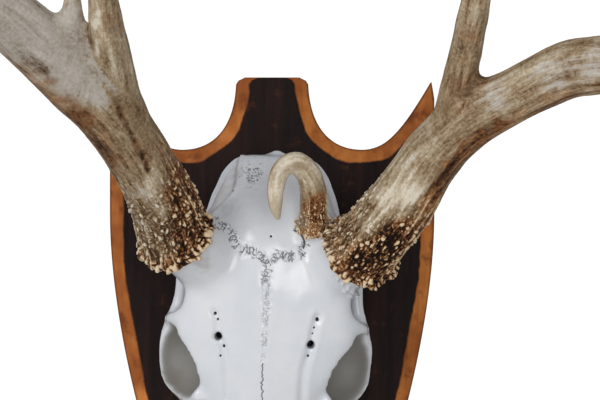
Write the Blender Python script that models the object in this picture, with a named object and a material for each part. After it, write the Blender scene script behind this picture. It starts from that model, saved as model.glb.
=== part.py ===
"""A deer skull with its antlers, set on a shaped wooden board that hangs flat on a wall.

X runs to the viewer's right, Y into the wall and Z up. The board's back lies on the wall at Y = 0 and the
skull stands in front of it, towards -Y, with its crest at the top and its nose at the bottom.
"""
import math

import bmesh
import bpy
from mathutils import Matrix, Vector

mm = 0.001

# Board: a shield with a raised tab between two scoops and a horn at each shoulder
board_width = 184 * mm
board_above_middle = 177 * mm
board_below_middle = 176 * mm
board_thickness = 19 * mm
bevel_width = 8.5 * mm
bevel_depth = 4.5 * mm
bevel_waver = 0.4 * mm
top_arris = 0.4 * mm
tip_mitre = 1.41
tab_half_width = 20.5 * mm
tab_corner_drop = 4 * mm
scoop_bottom_in = 51 * mm
scoop_bottom_drop = 41 * mm
horn_tip_in = 1.6 * mm
horn_tip_drop = 2.5 * mm
side_straight_drop = 77 * mm

# Skull: its own length sets all of its free form
skull_length = 285 * mm
crest_height = 132 * mm
crest_aside = 3.1 * mm
skull_roll = math.radians(3.2)
tooth_length = 12.2 * mm
foramen_bore = 3.8 * mm

# Antlers: the length of a beam sets its free form, the burr sets how it meets the skull
beam_length = 560 * mm
burr_radius = 22.5 * mm
burr_pearl = 4.2 * mm
burr_pearls = 15
pedicle_radius = 15.5 * mm
burr_lift = 3.5 * mm
third_length = 62 * mm
third_burr_radius = 8.8 * mm
third_burr_pearl = 2.0 * mm
third_burr_pearls = 13
third_pedicle_radius = 7.2 * mm
third_burr_lift = 1.6 * mm

# Touching pieces keep this much air
touching_gap = 0.3 * mm

skull_unit = skull_length / 285
antler_unit = beam_length / 560
third_unit = third_length / 62


# Scene and materials

def clear_scene():
    for thing in list(bpy.data.objects):
        bpy.data.objects.remove(thing, do_unlink=True)


def finish_material(name, colour, roughness):
    material = bpy.data.materials.new(name)
    material.use_nodes = True
    shader = material.node_tree.nodes["Principled BSDF"]
    shader.inputs["Base Color"].default_value = (*colour, 1.0)
    shader.inputs["Roughness"].default_value = roughness
    shader.inputs["Metallic"].default_value = 0.0
    return material


def object_from(name, shape, material=None):
    mesh = bpy.data.meshes.new(name)
    bmesh.ops.recalc_face_normals(shape, faces=shape.faces)
    shape.to_mesh(mesh)
    shape.free()
    thing = bpy.data.objects.new(name, mesh)
    bpy.context.scene.collection.objects.link(thing)
    if material:
        mesh.materials.append(material)
    return thing


def cutter_from(name, shape):
    thing = object_from(name, shape)
    thing.hide_render = True
    thing.display_type = "WIRE"
    return thing


# Smooth paths and the solids swept or lofted along them

def smooth_through(stations, steps):
    """A Catmull-Rom curve through stations, each a tuple of numbers, with some steps in every span."""
    last = len(stations) - 1
    result = []
    for index in range(last):
        before = stations[max(index - 1, 0)]
        start = stations[index]
        end = stations[index + 1]
        after = stations[min(index + 2, last)]
        for step in range(steps):
            t = step / steps
            result.append(tuple(
                0.5 * (2 * b + (c - a) * t + (2 * a - 5 * b + 4 * c - d) * t ** 2
                       + (3 * b - a - 3 * c + d) * t ** 3)
                for a, b, c, d in zip(before, start, end, after)))
    result.append(tuple(stations[last]))
    return result


def skin(shape, rings):
    """Joins closed rings of points into one closed skin with a fan at each end."""
    loops = [[shape.verts.new(point) for point in ring] for ring in rings]
    sides = len(loops[0])
    for lower, upper in zip(loops, loops[1:]):
        for side in range(sides):
            after = (side + 1) % sides
            shape.faces.new((lower[side], lower[after], upper[after], upper[side]))
    for loop, ring in ((loops[0], rings[0]), (loops[-1], rings[-1])):
        middle = shape.verts.new(sum(ring, Vector()) / sides)
        for side in range(sides):
            shape.faces.new((loop[side], loop[(side + 1) % sides], middle))


def tube(shape, stations, sides=12, steps=4, toward=Vector((0, -1, 0))):
    """Sweeps an oval along stations (point, half size across, half size toward the viewer)."""
    flat = [(*point, across, deep) for point, across, deep in stations]
    path = smooth_through(flat, steps)
    points = [Vector(station[:3]) for station in path]
    rings = []
    facing = None
    heading = None
    for index, station in enumerate(path):
        ahead = points[min(index + 1, len(points) - 1)] - points[max(index - 1, 0)]
        ahead.normalize()
        if facing is None:
            facing = (toward - ahead * toward.dot(ahead)).normalized()
        else:
            facing = heading.rotation_difference(ahead) @ facing
        heading = ahead
        sideways = ahead.cross(facing)
        across, deep = station[3], station[4]
        rings.append([points[index] + sideways * across * math.cos(turn) + facing * deep * math.sin(turn)
                      for turn in (2 * math.pi * side / sides for side in range(sides))])
    skin(shape, rings)


def ellipsoid(shape, centre, radii, sides=20):
    place = Matrix.Translation(centre) @ Matrix.Diagonal((*radii, 1))
    bmesh.ops.create_uvsphere(shape, u_segments=sides, v_segments=sides // 2 + 2, radius=1, matrix=place)


def half_space(name, point, outward, reach, depth):
    """A drum that takes away all that lies within reach beyond a plane."""
    shape = bmesh.new()
    turn = Vector((0, 0, 1)).rotation_difference(outward).to_matrix().to_4x4()
    place = Matrix.Translation(point + outward * depth / 2) @ turn
    bmesh.ops.create_cone(shape, cap_ends=True, segments=24, radius1=reach, radius2=reach, depth=depth,
                          matrix=place)
    return cutter_from(name, shape)


def fuse(thing, voxel, smooth_rounds):
    """Melts overlapping closed shapes into one skin and softens it."""
    melt = thing.modifiers.new("Fuse", "REMESH")
    melt.mode = "VOXEL"
    melt.voxel_size = voxel
    soften = thing.modifiers.new("Soften", "SMOOTH")
    soften.factor = 0.5
    soften.iterations = smooth_rounds


def thin_out(thing, ratio):
    fewer = thing.modifiers.new("Thin out", "DECIMATE")
    fewer.ratio = ratio


def cut_away(thing, cutter):
    cut = thing.modifiers.new("Cut " + cutter.name, "BOOLEAN")
    cut.operation = "DIFFERENCE"
    cut.object = cutter


# Board

def bezier(start, leave, arrive, end, steps):
    points = []
    for step in range(steps):
        t = step / steps
        u = 1 - t
        points.append(tuple(
            a * u ** 3 + 3 * b * u * u * t + 3 * c * u * t * t + d * t ** 3
            for a, b, c, d in zip(start, leave, arrive, end)))
    return points


def board_outline():
    """The right half of the outline from the middle of the tab to the bottom tip, as (x, z) points."""
    top = board_above_middle
    bottom = -board_below_middle
    edge = board_width / 2
    corner = (tab_half_width, top - tab_corner_drop)
    scoop = (scoop_bottom_in, top - scoop_bottom_drop)
    horn = (edge - horn_tip_in, top - horn_tip_drop)
    shoulder = (edge, top - side_straight_drop)
    fall = corner[1] - scoop[1]
    rise = horn[1] - scoop[1]
    reach = scoop[0] - corner[0]
    run = horn[0] - scoop[0]
    drop = shoulder[1] - bottom
    half = [(0.0, top), (tab_half_width * 0.75, top), (tab_half_width * 0.93, top - tab_corner_drop * 0.45)]
    half += bezier(corner, (corner[0] + reach * 0.03, corner[1] - fall * 0.62),
                   (corner[0] + reach * 0.38, scoop[1]), scoop, 9)
    half += bezier(scoop, (scoop[0] + run * 0.38, scoop[1]),
                   (horn[0] - run * 0.37, horn[1] - rise * 0.64), horn, 9)
    half += [horn, (edge, horn[1] - (horn[1] - shoulder[1]) * 0.13)]
    half += bezier(shoulder, (edge, shoulder[1] - drop * 0.33), (edge * 0.49, bottom + drop * 0.17),
                   (0.0, bottom), 16)
    half.append((0.0, bottom))
    return half


def bevel_inner(half):
    """The inner edge of the bevel: an inset that runs off at the tab's top and mitres in the horn."""
    edge = board_width / 2
    top = board_above_middle
    inner = []
    for index, (x, z) in enumerate(half):
        before = Vector(half[max(index - 1, 0)])
        after = Vector(half[min(index + 1, len(half) - 1)])
        along = (after - before).normalized()
        inward = Vector((along.y, -along.x))
        width = bevel_width + bevel_waver * math.sin(index * 1.9)
        if x == 0.0 and z > 0:
            inner.append(Vector((0, top - top_arris)))
        elif z > top - tab_corner_drop * 1.5:
            inner.append(Vector((x - width, min(z, top - top_arris))))
        elif x == 0.0:
            inner.append(Vector((0, z + bevel_width * tip_mitre)))
        else:
            inner.append(Vector((x, z)) + inward * width)
    limit = edge - bevel_width
    horn_index = max(range(len(half)), key=lambda i: half[i][1] if half[i][0] > scoop_bottom_in else -1)
    mitre_index = next(i for i in range(horn_index) if inner[i].x > limit * 0.985)
    mitre = Vector((limit * 0.985, inner[mitre_index].y))
    for index in range(mitre_index, len(half)):
        if inner[index].y > mitre.y:
            inner[index] = mitre.copy()
        elif index > horn_index and inner[index].x > limit:
            inner[index].x = limit
    for index in range(mitre_index, horn_index + 1):
        inner[index] = mitre.copy()
    return inner


def build_board(material):
    half = board_outline()
    inner = bevel_inner(half)
    outer_loop = [Vector(point) for point in half] + [Vector((-x, z)) for x, z in reversed(half[1:-1])]
    inner_loop = inner + [Vector((-point.x, point.y)) for point in reversed(inner[1:-1])]
    shape = bmesh.new()
    back = [shape.verts.new((point.x, 0, point.y)) for point in outer_loop]
    waist = [shape.verts.new((point.x, bevel_depth - board_thickness, point.y)) for point in outer_loop]
    front = [shape.verts.new((point.x, -board_thickness, point.y)) for point in inner_loop]
    count = len(back)
    for lower, upper in ((back, waist), (waist, front)):
        for index in range(count):
            after = (index + 1) % count
            shape.faces.new((lower[index], lower[after], upper[after], upper[index]))
    bmesh.ops.remove_doubles(shape, verts=front, dist=0.02 * mm)
    shape.faces.new(back)
    rim = [edge for edge in shape.edges if edge.is_boundary]
    bmesh.ops.holes_fill(shape, edges=rim, sides=0)
    bmesh.ops.triangulate(shape, faces=[face for face in shape.faces if len(face.verts) > 4])
    return object_from("backboard", shape, material)


# Skull: lengths below are shares of a skull 285 long. "Down" runs from the crest towards the nose,
# "front" is the height in front of the board and "side" is -1 on the viewer's left and 1 on the right.

skull_place = (Matrix.Translation((crest_aside, -board_thickness - touching_gap, crest_height))
               @ Matrix.Rotation(skull_roll, 4, "Y"))


def on_skull(aside, down, front):
    return skull_place @ (Vector((aside, -front, -down)) * skull_unit)


def skull_tube(shape, stations, sides=12, steps=4):
    """Stations are (aside, down, front, radius)."""
    tube(shape, [(on_skull(a, d, f), r * skull_unit, r * skull_unit) for a, d, f, r in stations], sides, steps)


def skull_lump(shape, aside, down, front, radii):
    ellipsoid(shape, on_skull(aside, down, front), [radius * skull_unit for radius in radii])


def skull_loft(shape, stations, sides=36, steps=4, squareness=2.3):
    """Rings across the skull from (down, half width, front, back, height of the widest level)."""
    rings = []
    for down, half, front, back, level in smooth_through(stations, steps):
        ring = []
        for side in range(sides):
            turn = 2 * math.pi * side / sides
            reach = math.copysign(abs(math.cos(turn)) ** (2 / squareness), math.cos(turn)) * half
            rise = abs(math.sin(turn)) ** (2 / squareness)
            height = level + rise * (front - level if math.sin(turn) > 0 else back - level)
            ring.append(on_skull(reach, down, height))
        rings.append(ring)
    skin(shape, rings)


braincase_and_face = [
    (0.5, 15, 46, 30, 40), (3, 22, 51, 25, 40), (10, 28.5, 59, 20, 40), (18, 32, 69, 18, 42),
    (27, 35.5, 78, 17, 44), (38, 37, 85, 16, 46), (50, 36.5, 88.5, 16, 47), (62, 35, 89.5, 17, 48),
    (74, 32, 89.5, 19, 50), (92, 27, 87.5, 24, 54), (112, 26, 83, 24, 52), (130, 33, 77.5, 19, 47),
    (145, 35, 73, 17, 42), (160, 32.5, 69, 16, 40), (178, 28, 65.5, 15.5, 38), (198, 23.5, 61.5, 15, 35),
    (218, 19.5, 57, 15, 32), (238, 16.5, 51.5, 14, 29), (252, 15, 46, 13.5, 27), (262, 14.5, 38, 13, 24),
    (274, 13, 28, 12.5, 20), (284, 8, 22, 13.5, 18)]

frontal_plate = [
    (44, 33, 86, 62, 72), (56, 41, 88, 64, 74), (68, 43, 89, 65, 75), (80, 44.5, 88.5, 64, 74),
    (90, 47.5, 87, 63, 74), (97, 47, 86, 61, 73), (106, 44, 84, 58, 70), (116, 40, 81.5, 55, 67),
    (126, 34, 78.5, 51, 63), (138, 27, 75, 47, 59)]

zygomatic_arch = [
    (34, 38, 36, 5.5), (41, 46, 37, 5), (46.5, 62, 38, 4.2), (48, 80, 39, 4), (51.5, 92, 40, 4),
    (54.5, 102, 42, 3.6), (53.5, 114, 43, 3.6), (48.5, 126, 43, 3.8), (39, 136, 42, 4.8), (31, 146, 38, 6)]

brow_bar = [(43, 88, 74, 5), (49.5, 90, 67, 3.8), (52, 91, 56, 3.3), (52, 92, 42, 3.8)]

tear_ridge = [(32, 129, 68, 4.5), (37, 132, 60, 3.6), (40, 133, 52, 3.6), (40, 134, 42, 4.5)]

pedicle_inner = (26, 60, 58)
pedicle_middle = (35, 55, 75)

left_burr = (-49.8, 45.0, 94)
right_burr = (47.3, 47.5, 94)
third_burr = (21.4, 36.0, 87)
left_lean = Vector((-0.40, -0.76, 0.50)).normalized()
right_lean = Vector((0.40, -0.76, 0.50)).normalized()
third_lean = Vector((0.02, -0.78, 0.62)).normalized()


def add_orbit_cup(shape, side):
    skull_lump(shape, side * 40, 113, 47, (18, 21, 21.5))


def add_brow_shoulder(shape, side):
    skull_lump(shape, side * 27, 62, 66, (19, 22, 26))


def add_teeth(shape, side):
    """Six cheek teeth in a row that spreads backwards, the front ones smaller."""
    down = 205.0
    for number in range(6):
        length = tooth_length / mm * (0.78 if number < 3 else 1.12)
        down -= length
        aside = 20.5 + number * 1.5
        width = 4.6 if number < 3 else 6.2
        for lobe in (0.27, 0.73):
            skull_lump(shape, side * aside, down + length * lobe, 11.0, (width, 11.0, length * 0.33))


def add_skull_base(shape, side):
    skull_lump(shape, side * 11, 10, 21, (8, 10, 9))
    skull_lump(shape, side * 20, 38, 18, (7.5, 8, 11))
    skull_lump(shape, side * 27, 40, 34, (12, 14, 14))
    skull_tube(shape, [(side * 20, 18, 30, 6), (side * 23, 17, 18, 4.5), (side * 23, 19, 5, 2.4)])
    skull_tube(shape, [(side * 10, 92, 30, 4), (side * 11, 82, 18, 2.8), (side * 11.5, 74, 10, 2.0)])
    skull_tube(shape, [(side * 15, 122, 26, 5), (side * 10, 104, 22, 4), (side * 9, 90, 26, 4)])


def add_muzzle(shape, side):
    """The jaw bar beside the nose opening and half of the nasal tip."""
    skull_tube(shape, [(side * 15, 226, 40, 6), (side * 14.5, 246, 32, 4.8), (side * 12.5, 264, 24, 4.2),
                       (side * 8, 278, 19, 4.2), (side * 3.5, 284, 18, 4)])
    skull_tube(shape, [(side * 7, 224, 53, 5.5), (side * 5.5, 246, 48.5, 4.6), (side * 4.2, 263, 44.5, 2.4)])


def build_skull_body():
    shape = bmesh.new()
    skull_loft(shape, braincase_and_face)
    skull_loft(shape, frontal_plate, squareness=2.1)
    for side in (-1, 1):
        add_orbit_cup(shape, side)
        add_brow_shoulder(shape, side)
        skull_tube(shape, [(side * a, d, f, r) for a, d, f, r in zygomatic_arch])
        skull_tube(shape, [(side * a, d, f, r) for a, d, f, r in brow_bar])
        skull_tube(shape, [(side * a, d, f, r) for a, d, f, r in tear_ridge])
        add_teeth(shape, side)
        add_skull_base(shape, side)
        add_muzzle(shape, side)
    add_pedicle(shape, left_burr, left_lean, -1)
    add_pedicle(shape, right_burr, right_lean, 1)
    add_third_pedicle(shape)
    return shape


def add_pedicle(shape, burr, lean, side):
    top = on_skull(*burr) + lean * burr_lift
    inner = on_skull(side * pedicle_inner[0], *pedicle_inner[1:])
    middle = on_skull(side * pedicle_middle[0], *pedicle_middle[1:])
    neck = on_skull(*burr) - lean * burr_lift * 2
    tube(shape, [(inner, pedicle_radius * 1.6, pedicle_radius * 1.6),
                 (middle, pedicle_radius * 1.25, pedicle_radius * 1.25),
                 (neck, pedicle_radius, pedicle_radius), (top, pedicle_radius, pedicle_radius)], 20)


def add_third_pedicle(shape):
    top = on_skull(*third_burr) + third_lean * third_burr_lift
    foot = on_skull(*third_burr) - third_lean * 20 * skull_unit
    tube(shape, [(foot, third_pedicle_radius * 1.6, third_pedicle_radius * 1.6),
                 ((foot + top) / 2, third_pedicle_radius * 1.2, third_pedicle_radius * 1.2),
                 (top, third_pedicle_radius, third_pedicle_radius)], 16)


def cut_hollows():
    """Everything that is hollowed out of the bone, as one cutter of separate closed shapes."""
    shape = bmesh.new()
    for side in (-1, 1):
        skull_lump(shape, side * 46.5, 112, 59.5, (18, 17.5, 21.5))
        skull_lump(shape, side * 37, 68, 46, (6, 26, 19))
    skull_lump(shape, 0, 0, 24, (7.5, 9, 16))
    skull_lump(shape, 0, 104, 6, (8, 18, 14))
    skull_lump(shape, 0, 262, 35, (9.5, 12.5, 20))
    skull_lump(shape, 0, 176, 6, (13, 7.5, 36))
    return cutter_from("skull_hollows", shape)


def cut_foramina():
    """The pair of holes above the eyes, each drilled along its own line into the forehead."""
    shape = bmesh.new()
    bore = foramen_bore / 2
    for aside, down in ((-27, 95), (25, 97)):
        mouth = on_skull(aside, down, 96)
        inner = on_skull(aside * 0.85, down + 4, 78)
        turn = Vector((0, 0, 1)).rotation_difference((inner - mouth).normalized()).to_matrix().to_4x4()
        bmesh.ops.create_cone(shape, cap_ends=True, segments=10, radius1=bore, radius2=bore,
                              depth=(inner - mouth).length,
                              matrix=Matrix.Translation((mouth + inner) / 2) @ turn)
    return cutter_from("brow_holes", shape)


def build_skull(material):
    skull = object_from("skull", build_skull_body(), material)
    fuse(skull, skull_length / 170, 2)
    cut_away(skull, cut_hollows())
    fuse(skull, skull_length / 190, 6)
    thin_out(skull, 0.047)
    cut_away(skull, cut_foramina())
    reach = burr_radius + burr_pearl * 2
    for name, burr, lean, lift in (("left_pedicle_end", left_burr, left_lean, burr_lift),
                                   ("right_pedicle_end", right_burr, right_lean, burr_lift),
                                   ("third_pedicle_end", third_burr, third_lean, third_burr_lift)):
        seat = on_skull(*burr) - lean * (lift + touching_gap)
        cut_away(skull, half_space(name, seat, lean, reach if name[0] != "t" else reach / 2, reach))
    return skull


# Antlers: stations are (right, front, up, half size across, half size toward the viewer) in
# millimetres of a beam 560 long, measured from the middle of the burr.

left_beam = [
    (5, -9, -7, 16.5, 16.5), (0, 0, 0, 18, 17.5), (-4, 18, 16, 17.2, 16), (-10.5, 35, 31, 16.2, 15),
    (-18.5, 51, 46.5, 16, 14), (-29, 66, 62, 16, 13.5), (-44, 80, 78, 16.8, 12.5), (-59, 95, 92, 15.5, 12.5),
    (-77, 113, 107, 14.5, 12), (-112, 138, 123, 13, 11.5), (-142, 172, 131, 12.3, 11.5),
    (-156, 210, 129, 11.5, 10.5), (-147, 250, 121, 9.8, 9.2), (-116, 281, 112, 7.6, 7.2),
    (-70, 297, 106, 5, 5), (-32, 301, 102, 1.4, 1.4)]
left_brow_tine = [
    (-12, 40, 36, 9, 9), (-16, 56, 53, 9.8, 9), (-21, 70, 69, 9.4, 9), (-23.2, 86, 85, 9.2, 8.8),
    (-24.7, 103, 100, 8.2, 7.8), (-25.2, 116, 112, 7.2, 6.9), (-26, 134, 134, 5.7, 5.7),
    (-29, 146, 156, 4.2, 4.2), (-33, 153, 176, 1.2, 1.2)]
left_second_tine = [
    (-47, 80, 78, 10, 8), (-43.5, 88, 91, 10, 6.5), (-41, 97, 103, 5.8, 5), (-39.5, 107, 115, 3.7, 3.8),
    (-40, 120, 133, 3.1, 3.1), (-43, 134, 154, 1.2, 1.2)]
left_third_tine = [
    (-138, 152, 126, 9, 8.5), (-144, 172, 148, 8.2, 7.6), (-146, 190, 178, 7, 6.5), (-142, 206, 208, 5, 4.6),
    (-134, 217, 236, 1.3, 1.3)]
left_fourth_tine = [
    (-152, 228, 124, 8.5, 8), (-157, 246, 144, 7.2, 6.8), (-157, 262, 170, 5.2, 5), (-151, 276, 196, 1.3, 1.3)]

right_beam = [
    (-5, -9, -7, 16.5, 16.5), (0, 0, 0, 18, 17.5), (11, 17, 14, 17, 16.5), (20.5, 27, 27, 16.5, 15),
    (29, 37, 40.5, 15.2, 14.5), (39, 47, 54, 14.8, 13.5), (52, 60, 66, 14.6, 13), (71.5, 73, 76, 13.3, 12.5),
    (91, 85, 85.5, 14, 12.5), (108, 95, 88.5, 14.4, 12.5), (143, 115, 89.5, 13.2, 12), (168, 148, 92, 12, 11),
    (177, 185, 98, 11.2, 10.5), (168, 222, 106, 10, 9.4), (141, 252, 112, 8.4, 8), (103, 272, 110, 7, 6.8),
    (58, 285, 108, 5.6, 5.4), (12, 292, 105.5, 4.4, 4.4), (-26, 292, 104, 3.2, 3.2), (-45, 290, 99, 1.2, 1.2)]
right_brow_tine = [
    (37, 42, 48, 9.5, 9), (42, 55, 66, 9.4, 9), (45.5, 67, 87, 8.4, 8.4), (48.3, 80, 104.6, 7.8, 7.8),
    (50.5, 92, 120, 7.3, 7.3), (54, 103, 147, 6.2, 6.2), (58, 113, 175, 4.5, 4.5), (60, 121, 201, 1.2, 1.2)]
right_second_tine = [
    (122, 96, 86, 9.5, 9), (130, 116, 110, 8.6, 8.2), (138, 138, 142, 7.4, 7), (142, 154, 182, 5.4, 5.2),
    (140, 164, 222, 1.3, 1.3)]
right_third_tine = [
    (176, 178, 96, 8.5, 8), (180, 200, 122, 7.4, 7), (180, 220, 152, 5.4, 5.2), (172, 234, 186, 1.3, 1.3)]

third_stations = [
    (0, -4, -4, 7.2, 7.2), (0, 0, 0, 7.8, 7.8), (0.3, 7, 9, 7.2, 7), (0, 14, 18, 6.9, 6.6),
    (-2.5, 20, 26, 6.5, 6), (-9, 24, 31.5, 5.8, 5.4), (-16, 26, 28, 5.2, 4.9), (-19, 25.5, 18.5, 4.6, 4.4),
    (-19, 23.5, 9.5, 3.5, 3.4), (-17.6, 21, 2.5, 1.2, 1.2)]


def antler_tube(shape, root, stations, unit, sides):
    """Sweeps one beam or tine whose stations start from the middle of the burr."""
    tube(shape, [(root + Vector((x, -front, up)) * unit, across * unit, deep * unit)
                 for x, front, up, across, deep in stations], sides)


def add_burr(shape, root, lean, radius, pearl, pearls):
    """The collar of bony pearls round an antler's foot, on a disc that carries them."""
    first = lean.orthogonal().normalized()
    second = lean.cross(first)
    tube(shape, [(root - lean * pearl, radius - pearl, radius - pearl),
                 (root + lean * pearl * 0.8, radius - pearl * 1.3, radius - pearl * 1.3)], 24)
    for number in range(pearls):
        turn = 2 * math.pi * number / pearls
        swell = 1 + 0.22 * math.sin(number * 2.4)
        outward = first * math.cos(turn) + second * math.sin(turn)
        ellipsoid(shape, root + outward * (radius - pearl * swell), [pearl * swell] * 3, 10)


def build_antler(name, material, burr, lean, branches, unit, collar, voxel, ratio):
    radius, pearl, pearls, lift = collar
    root = on_skull(*burr)
    shape = bmesh.new()
    for stations in branches:
        antler_tube(shape, root, stations, unit, 14)
    add_burr(shape, root, lean, radius, pearl, pearls)
    antler = object_from(name, shape, material)
    fuse(antler, voxel, 2)
    thin_out(antler, ratio)
    foot = root - lean * lift
    cut_away(antler, half_space(name + "_foot", foot, -lean, radius + pearl * 2, radius))
    return antler


def build_mount():
    clear_scene()
    oak = finish_material("stained_wood", (0.03, 0.012, 0.01), 0.5)
    bone = finish_material("bleached_bone", (0.86, 0.88, 0.9), 0.18)
    horn = finish_material("antler", (0.42, 0.33, 0.24), 0.6)
    build_board(oak)
    build_skull(bone)
    collar = (burr_radius, burr_pearl, burr_pearls, burr_lift)
    third_collar = (third_burr_radius, third_burr_pearl, third_burr_pearls, third_burr_lift)
    build_antler("antler_left", horn, left_burr, left_lean,
                 (left_beam, left_brow_tine, left_second_tine, left_third_tine, left_fourth_tine),
                 antler_unit, collar, beam_length / 280, 0.045)
    build_antler("antler_right", horn, right_burr, right_lean,
                 (right_beam, right_brow_tine, right_second_tine, right_third_tine),
                 antler_unit, collar, beam_length / 280, 0.045)
    build_antler("third_antler", horn, third_burr, third_lean, (third_stations,), third_unit,
                 third_collar, third_length / 60, 0.085)


build_mount()
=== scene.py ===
# %% [markdown]
# # A deer skull mount
# The real object is a deer skull that was cleaned, coated glossy white and fixed to a shield cut from a dark
# stained board. Its antlers kept their natural surface: brown and pearled at the burr, grey and ribbed along
# the beams, smooth towards the tips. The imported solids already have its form. Each piece below is grown
# again at a finer grain from the solid's stations, with a few small changes that its own cell names. It gets
# the relief that a faceted solid can't carry, and then a finish. The frame is loaded first, because every
# piece rides on its one body.

# %% Load the frame
import math
import random
from contextlib import contextmanager

import bmesh
import bpy
import numpy as np
from mathutils import Matrix, Vector, kdtree, noise


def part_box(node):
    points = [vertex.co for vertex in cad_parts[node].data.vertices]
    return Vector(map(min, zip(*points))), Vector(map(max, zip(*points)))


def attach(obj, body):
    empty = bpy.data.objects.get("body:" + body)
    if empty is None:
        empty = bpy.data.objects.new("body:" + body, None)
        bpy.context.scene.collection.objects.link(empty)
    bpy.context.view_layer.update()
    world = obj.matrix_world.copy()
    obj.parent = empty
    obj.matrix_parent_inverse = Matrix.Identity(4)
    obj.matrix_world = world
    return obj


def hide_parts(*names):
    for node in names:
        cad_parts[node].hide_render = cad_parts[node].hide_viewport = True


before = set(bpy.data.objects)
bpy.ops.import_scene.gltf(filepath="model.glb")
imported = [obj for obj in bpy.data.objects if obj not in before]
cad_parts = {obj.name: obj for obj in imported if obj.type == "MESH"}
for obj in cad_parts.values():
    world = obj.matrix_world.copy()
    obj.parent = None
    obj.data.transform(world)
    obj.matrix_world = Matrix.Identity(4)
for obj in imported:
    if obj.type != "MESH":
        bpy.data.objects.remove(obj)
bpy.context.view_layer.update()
mm = 0.001


def put_in_scene(name, data):
    thing = bpy.data.objects.new(name, data)
    bpy.context.scene.collection.objects.link(thing)
    return thing


print("packed nodes:", sorted(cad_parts))

# %% [markdown]
# ## The camera
# The photograph looks straight at the board from about a metre off, a little above its middle, and its frame
# cuts off the antlers' ends and the nose. A long lens gives the same perspective: antlers that come a hand's
# length nearer look only a little larger. The place is written as real distances from the board's face.

# %% Camera
board_low, board_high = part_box("backboard")
board_face = board_low.y
eye_to_board = 1078 * mm
eye_aside = 15.8 * mm
eye_height = 107.5 * mm
lens_in_pixels = 1909
picture_width_in_pixels = 600
sensor_width_in_mm = 36

camera_data = bpy.data.cameras.new("camera")
camera_data.sensor_width = sensor_width_in_mm
camera_data.lens = lens_in_pixels * sensor_width_in_mm / picture_width_in_pixels
camera = put_in_scene("camera", camera_data)
camera.location = (eye_aside, board_face - eye_to_board, eye_height)
camera.rotation_euler = (math.radians(90), 0, 0)
bpy.context.scene.camera = camera
print("lens", round(camera_data.lens, 1), "mm")

# %% [markdown]
# ## Smooth paths and skins
# Bone and antler have no straight edges, so they are drawn as a few stations, each a point with a thickness.
# A Catmull-Rom curve goes through all of them without any handles to set. Rings of points along the curve are
# joined into a closed skin. The frames along a path are kept, because the antler's grooves follow them later.

# %% Paths, rings and skins
away_from_wall = Vector((0, -1, 0))


def smooth_through(stations, steps):
    """A Catmull-Rom curve through stations, each a tuple of numbers, with some steps in every span."""
    last = len(stations) - 1
    result = []
    for index in range(last):
        before = stations[max(index - 1, 0)]
        start = stations[index]
        end = stations[index + 1]
        after = stations[min(index + 2, last)]
        for step in range(steps):
            t = step / steps
            result.append(tuple(
                0.5 * (2 * b + (c - a) * t + (2 * a - 5 * b + 4 * c - d) * t ** 2
                       + (3 * b - a - 3 * c + d) * t ** 3)
                for a, b, c, d in zip(before, start, end, after)))
    result.append(tuple(stations[last]))
    return result


def travel(stations, steps):
    """Frames along stations (point, half size across, half size deep), each a dictionary."""
    path = smooth_through([(*point, across, deep) for point, across, deep in stations], steps)
    points = [Vector(station[:3]) for station in path]
    frames = []
    facing = None
    heading = None
    gone = 0.0
    for index, station in enumerate(path):
        ahead = points[min(index + 1, len(points) - 1)] - points[max(index - 1, 0)]
        ahead.normalize()
        if facing is None:
            facing = (away_from_wall - ahead * away_from_wall.dot(ahead)).normalized()
        else:
            facing = heading.rotation_difference(ahead) @ facing
            gone += (points[index] - points[index - 1]).length
        heading = ahead
        frames.append({"point": points[index], "ahead": ahead, "facing": facing.copy(),
                       "sideways": ahead.cross(facing), "across": station[3], "deep": station[4],
                       "gone": gone})
    return frames


def skin(shape, rings):
    """Joins closed rings of points into one closed skin with a fan at each end."""
    loops = [[shape.verts.new(point) for point in ring] for ring in rings]
    sides = len(loops[0])
    for lower, upper in zip(loops, loops[1:]):
        for side in range(sides):
            after = (side + 1) % sides
            shape.faces.new((lower[side], lower[after], upper[after], upper[side]))
    for loop, ring in ((loops[0], rings[0]), (loops[-1], rings[-1])):
        middle = shape.verts.new(sum(ring, Vector()) / sides)
        for side in range(sides):
            shape.faces.new((loop[side], loop[(side + 1) % sides], middle))


def tube(shape, stations, sides=20, steps=8):
    """Sweeps an oval along its stations and returns the frames it followed."""
    frames = travel(stations, steps)
    turns = [2 * math.pi * side / sides for side in range(sides)]
    skin(shape, [[spot["point"] + spot["sideways"] * spot["across"] * math.cos(turn)
                  + spot["facing"] * spot["deep"] * math.sin(turn) for turn in turns] for spot in frames])
    return frames


def ellipsoid(shape, centre, radii, sides, turn=Matrix.Identity(4)):
    """A closed lump from rings of points round its own Z axis."""
    place = Matrix.Translation(centre) @ turn @ Matrix.Diagonal((*radii, 1))
    levels = sides // 2 + 2
    tilts = [math.pi * level / levels for level in range(1, levels)]
    turns = [2 * math.pi * side / sides for side in range(sides)]
    skin(shape, [[place @ Vector((math.sin(tilt) * math.cos(angle), math.sin(tilt) * math.sin(angle),
                                  math.cos(tilt))) for angle in turns] for tilt in tilts])

# %% [markdown]
# ## From overlapping shapes to one skin
# A sculptor would press clay lumps together and smooth the joints. The Remesh modifier does the same: it
# wraps one even skin of small squares round everything that overlaps, and a Smooth modifier rounds the
# joints. The result is read back as plain mesh, so that points can be pushed and subdivided afterwards.

# %% Melting and cutting
def object_from(name, shape):
    mesh = bpy.data.meshes.new(name)
    bmesh.ops.recalc_face_normals(shape, faces=shape.faces)
    shape.to_mesh(mesh)
    shape.free()
    return put_in_scene(name, mesh)


@contextmanager
def reshaped(thing):
    """Opens an object's mesh for editing, and writes it back at the end of the with block."""
    shape = bmesh.new()
    shape.from_mesh(thing.data)
    yield shape
    shape.to_mesh(thing.data)
    shape.free()


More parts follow.
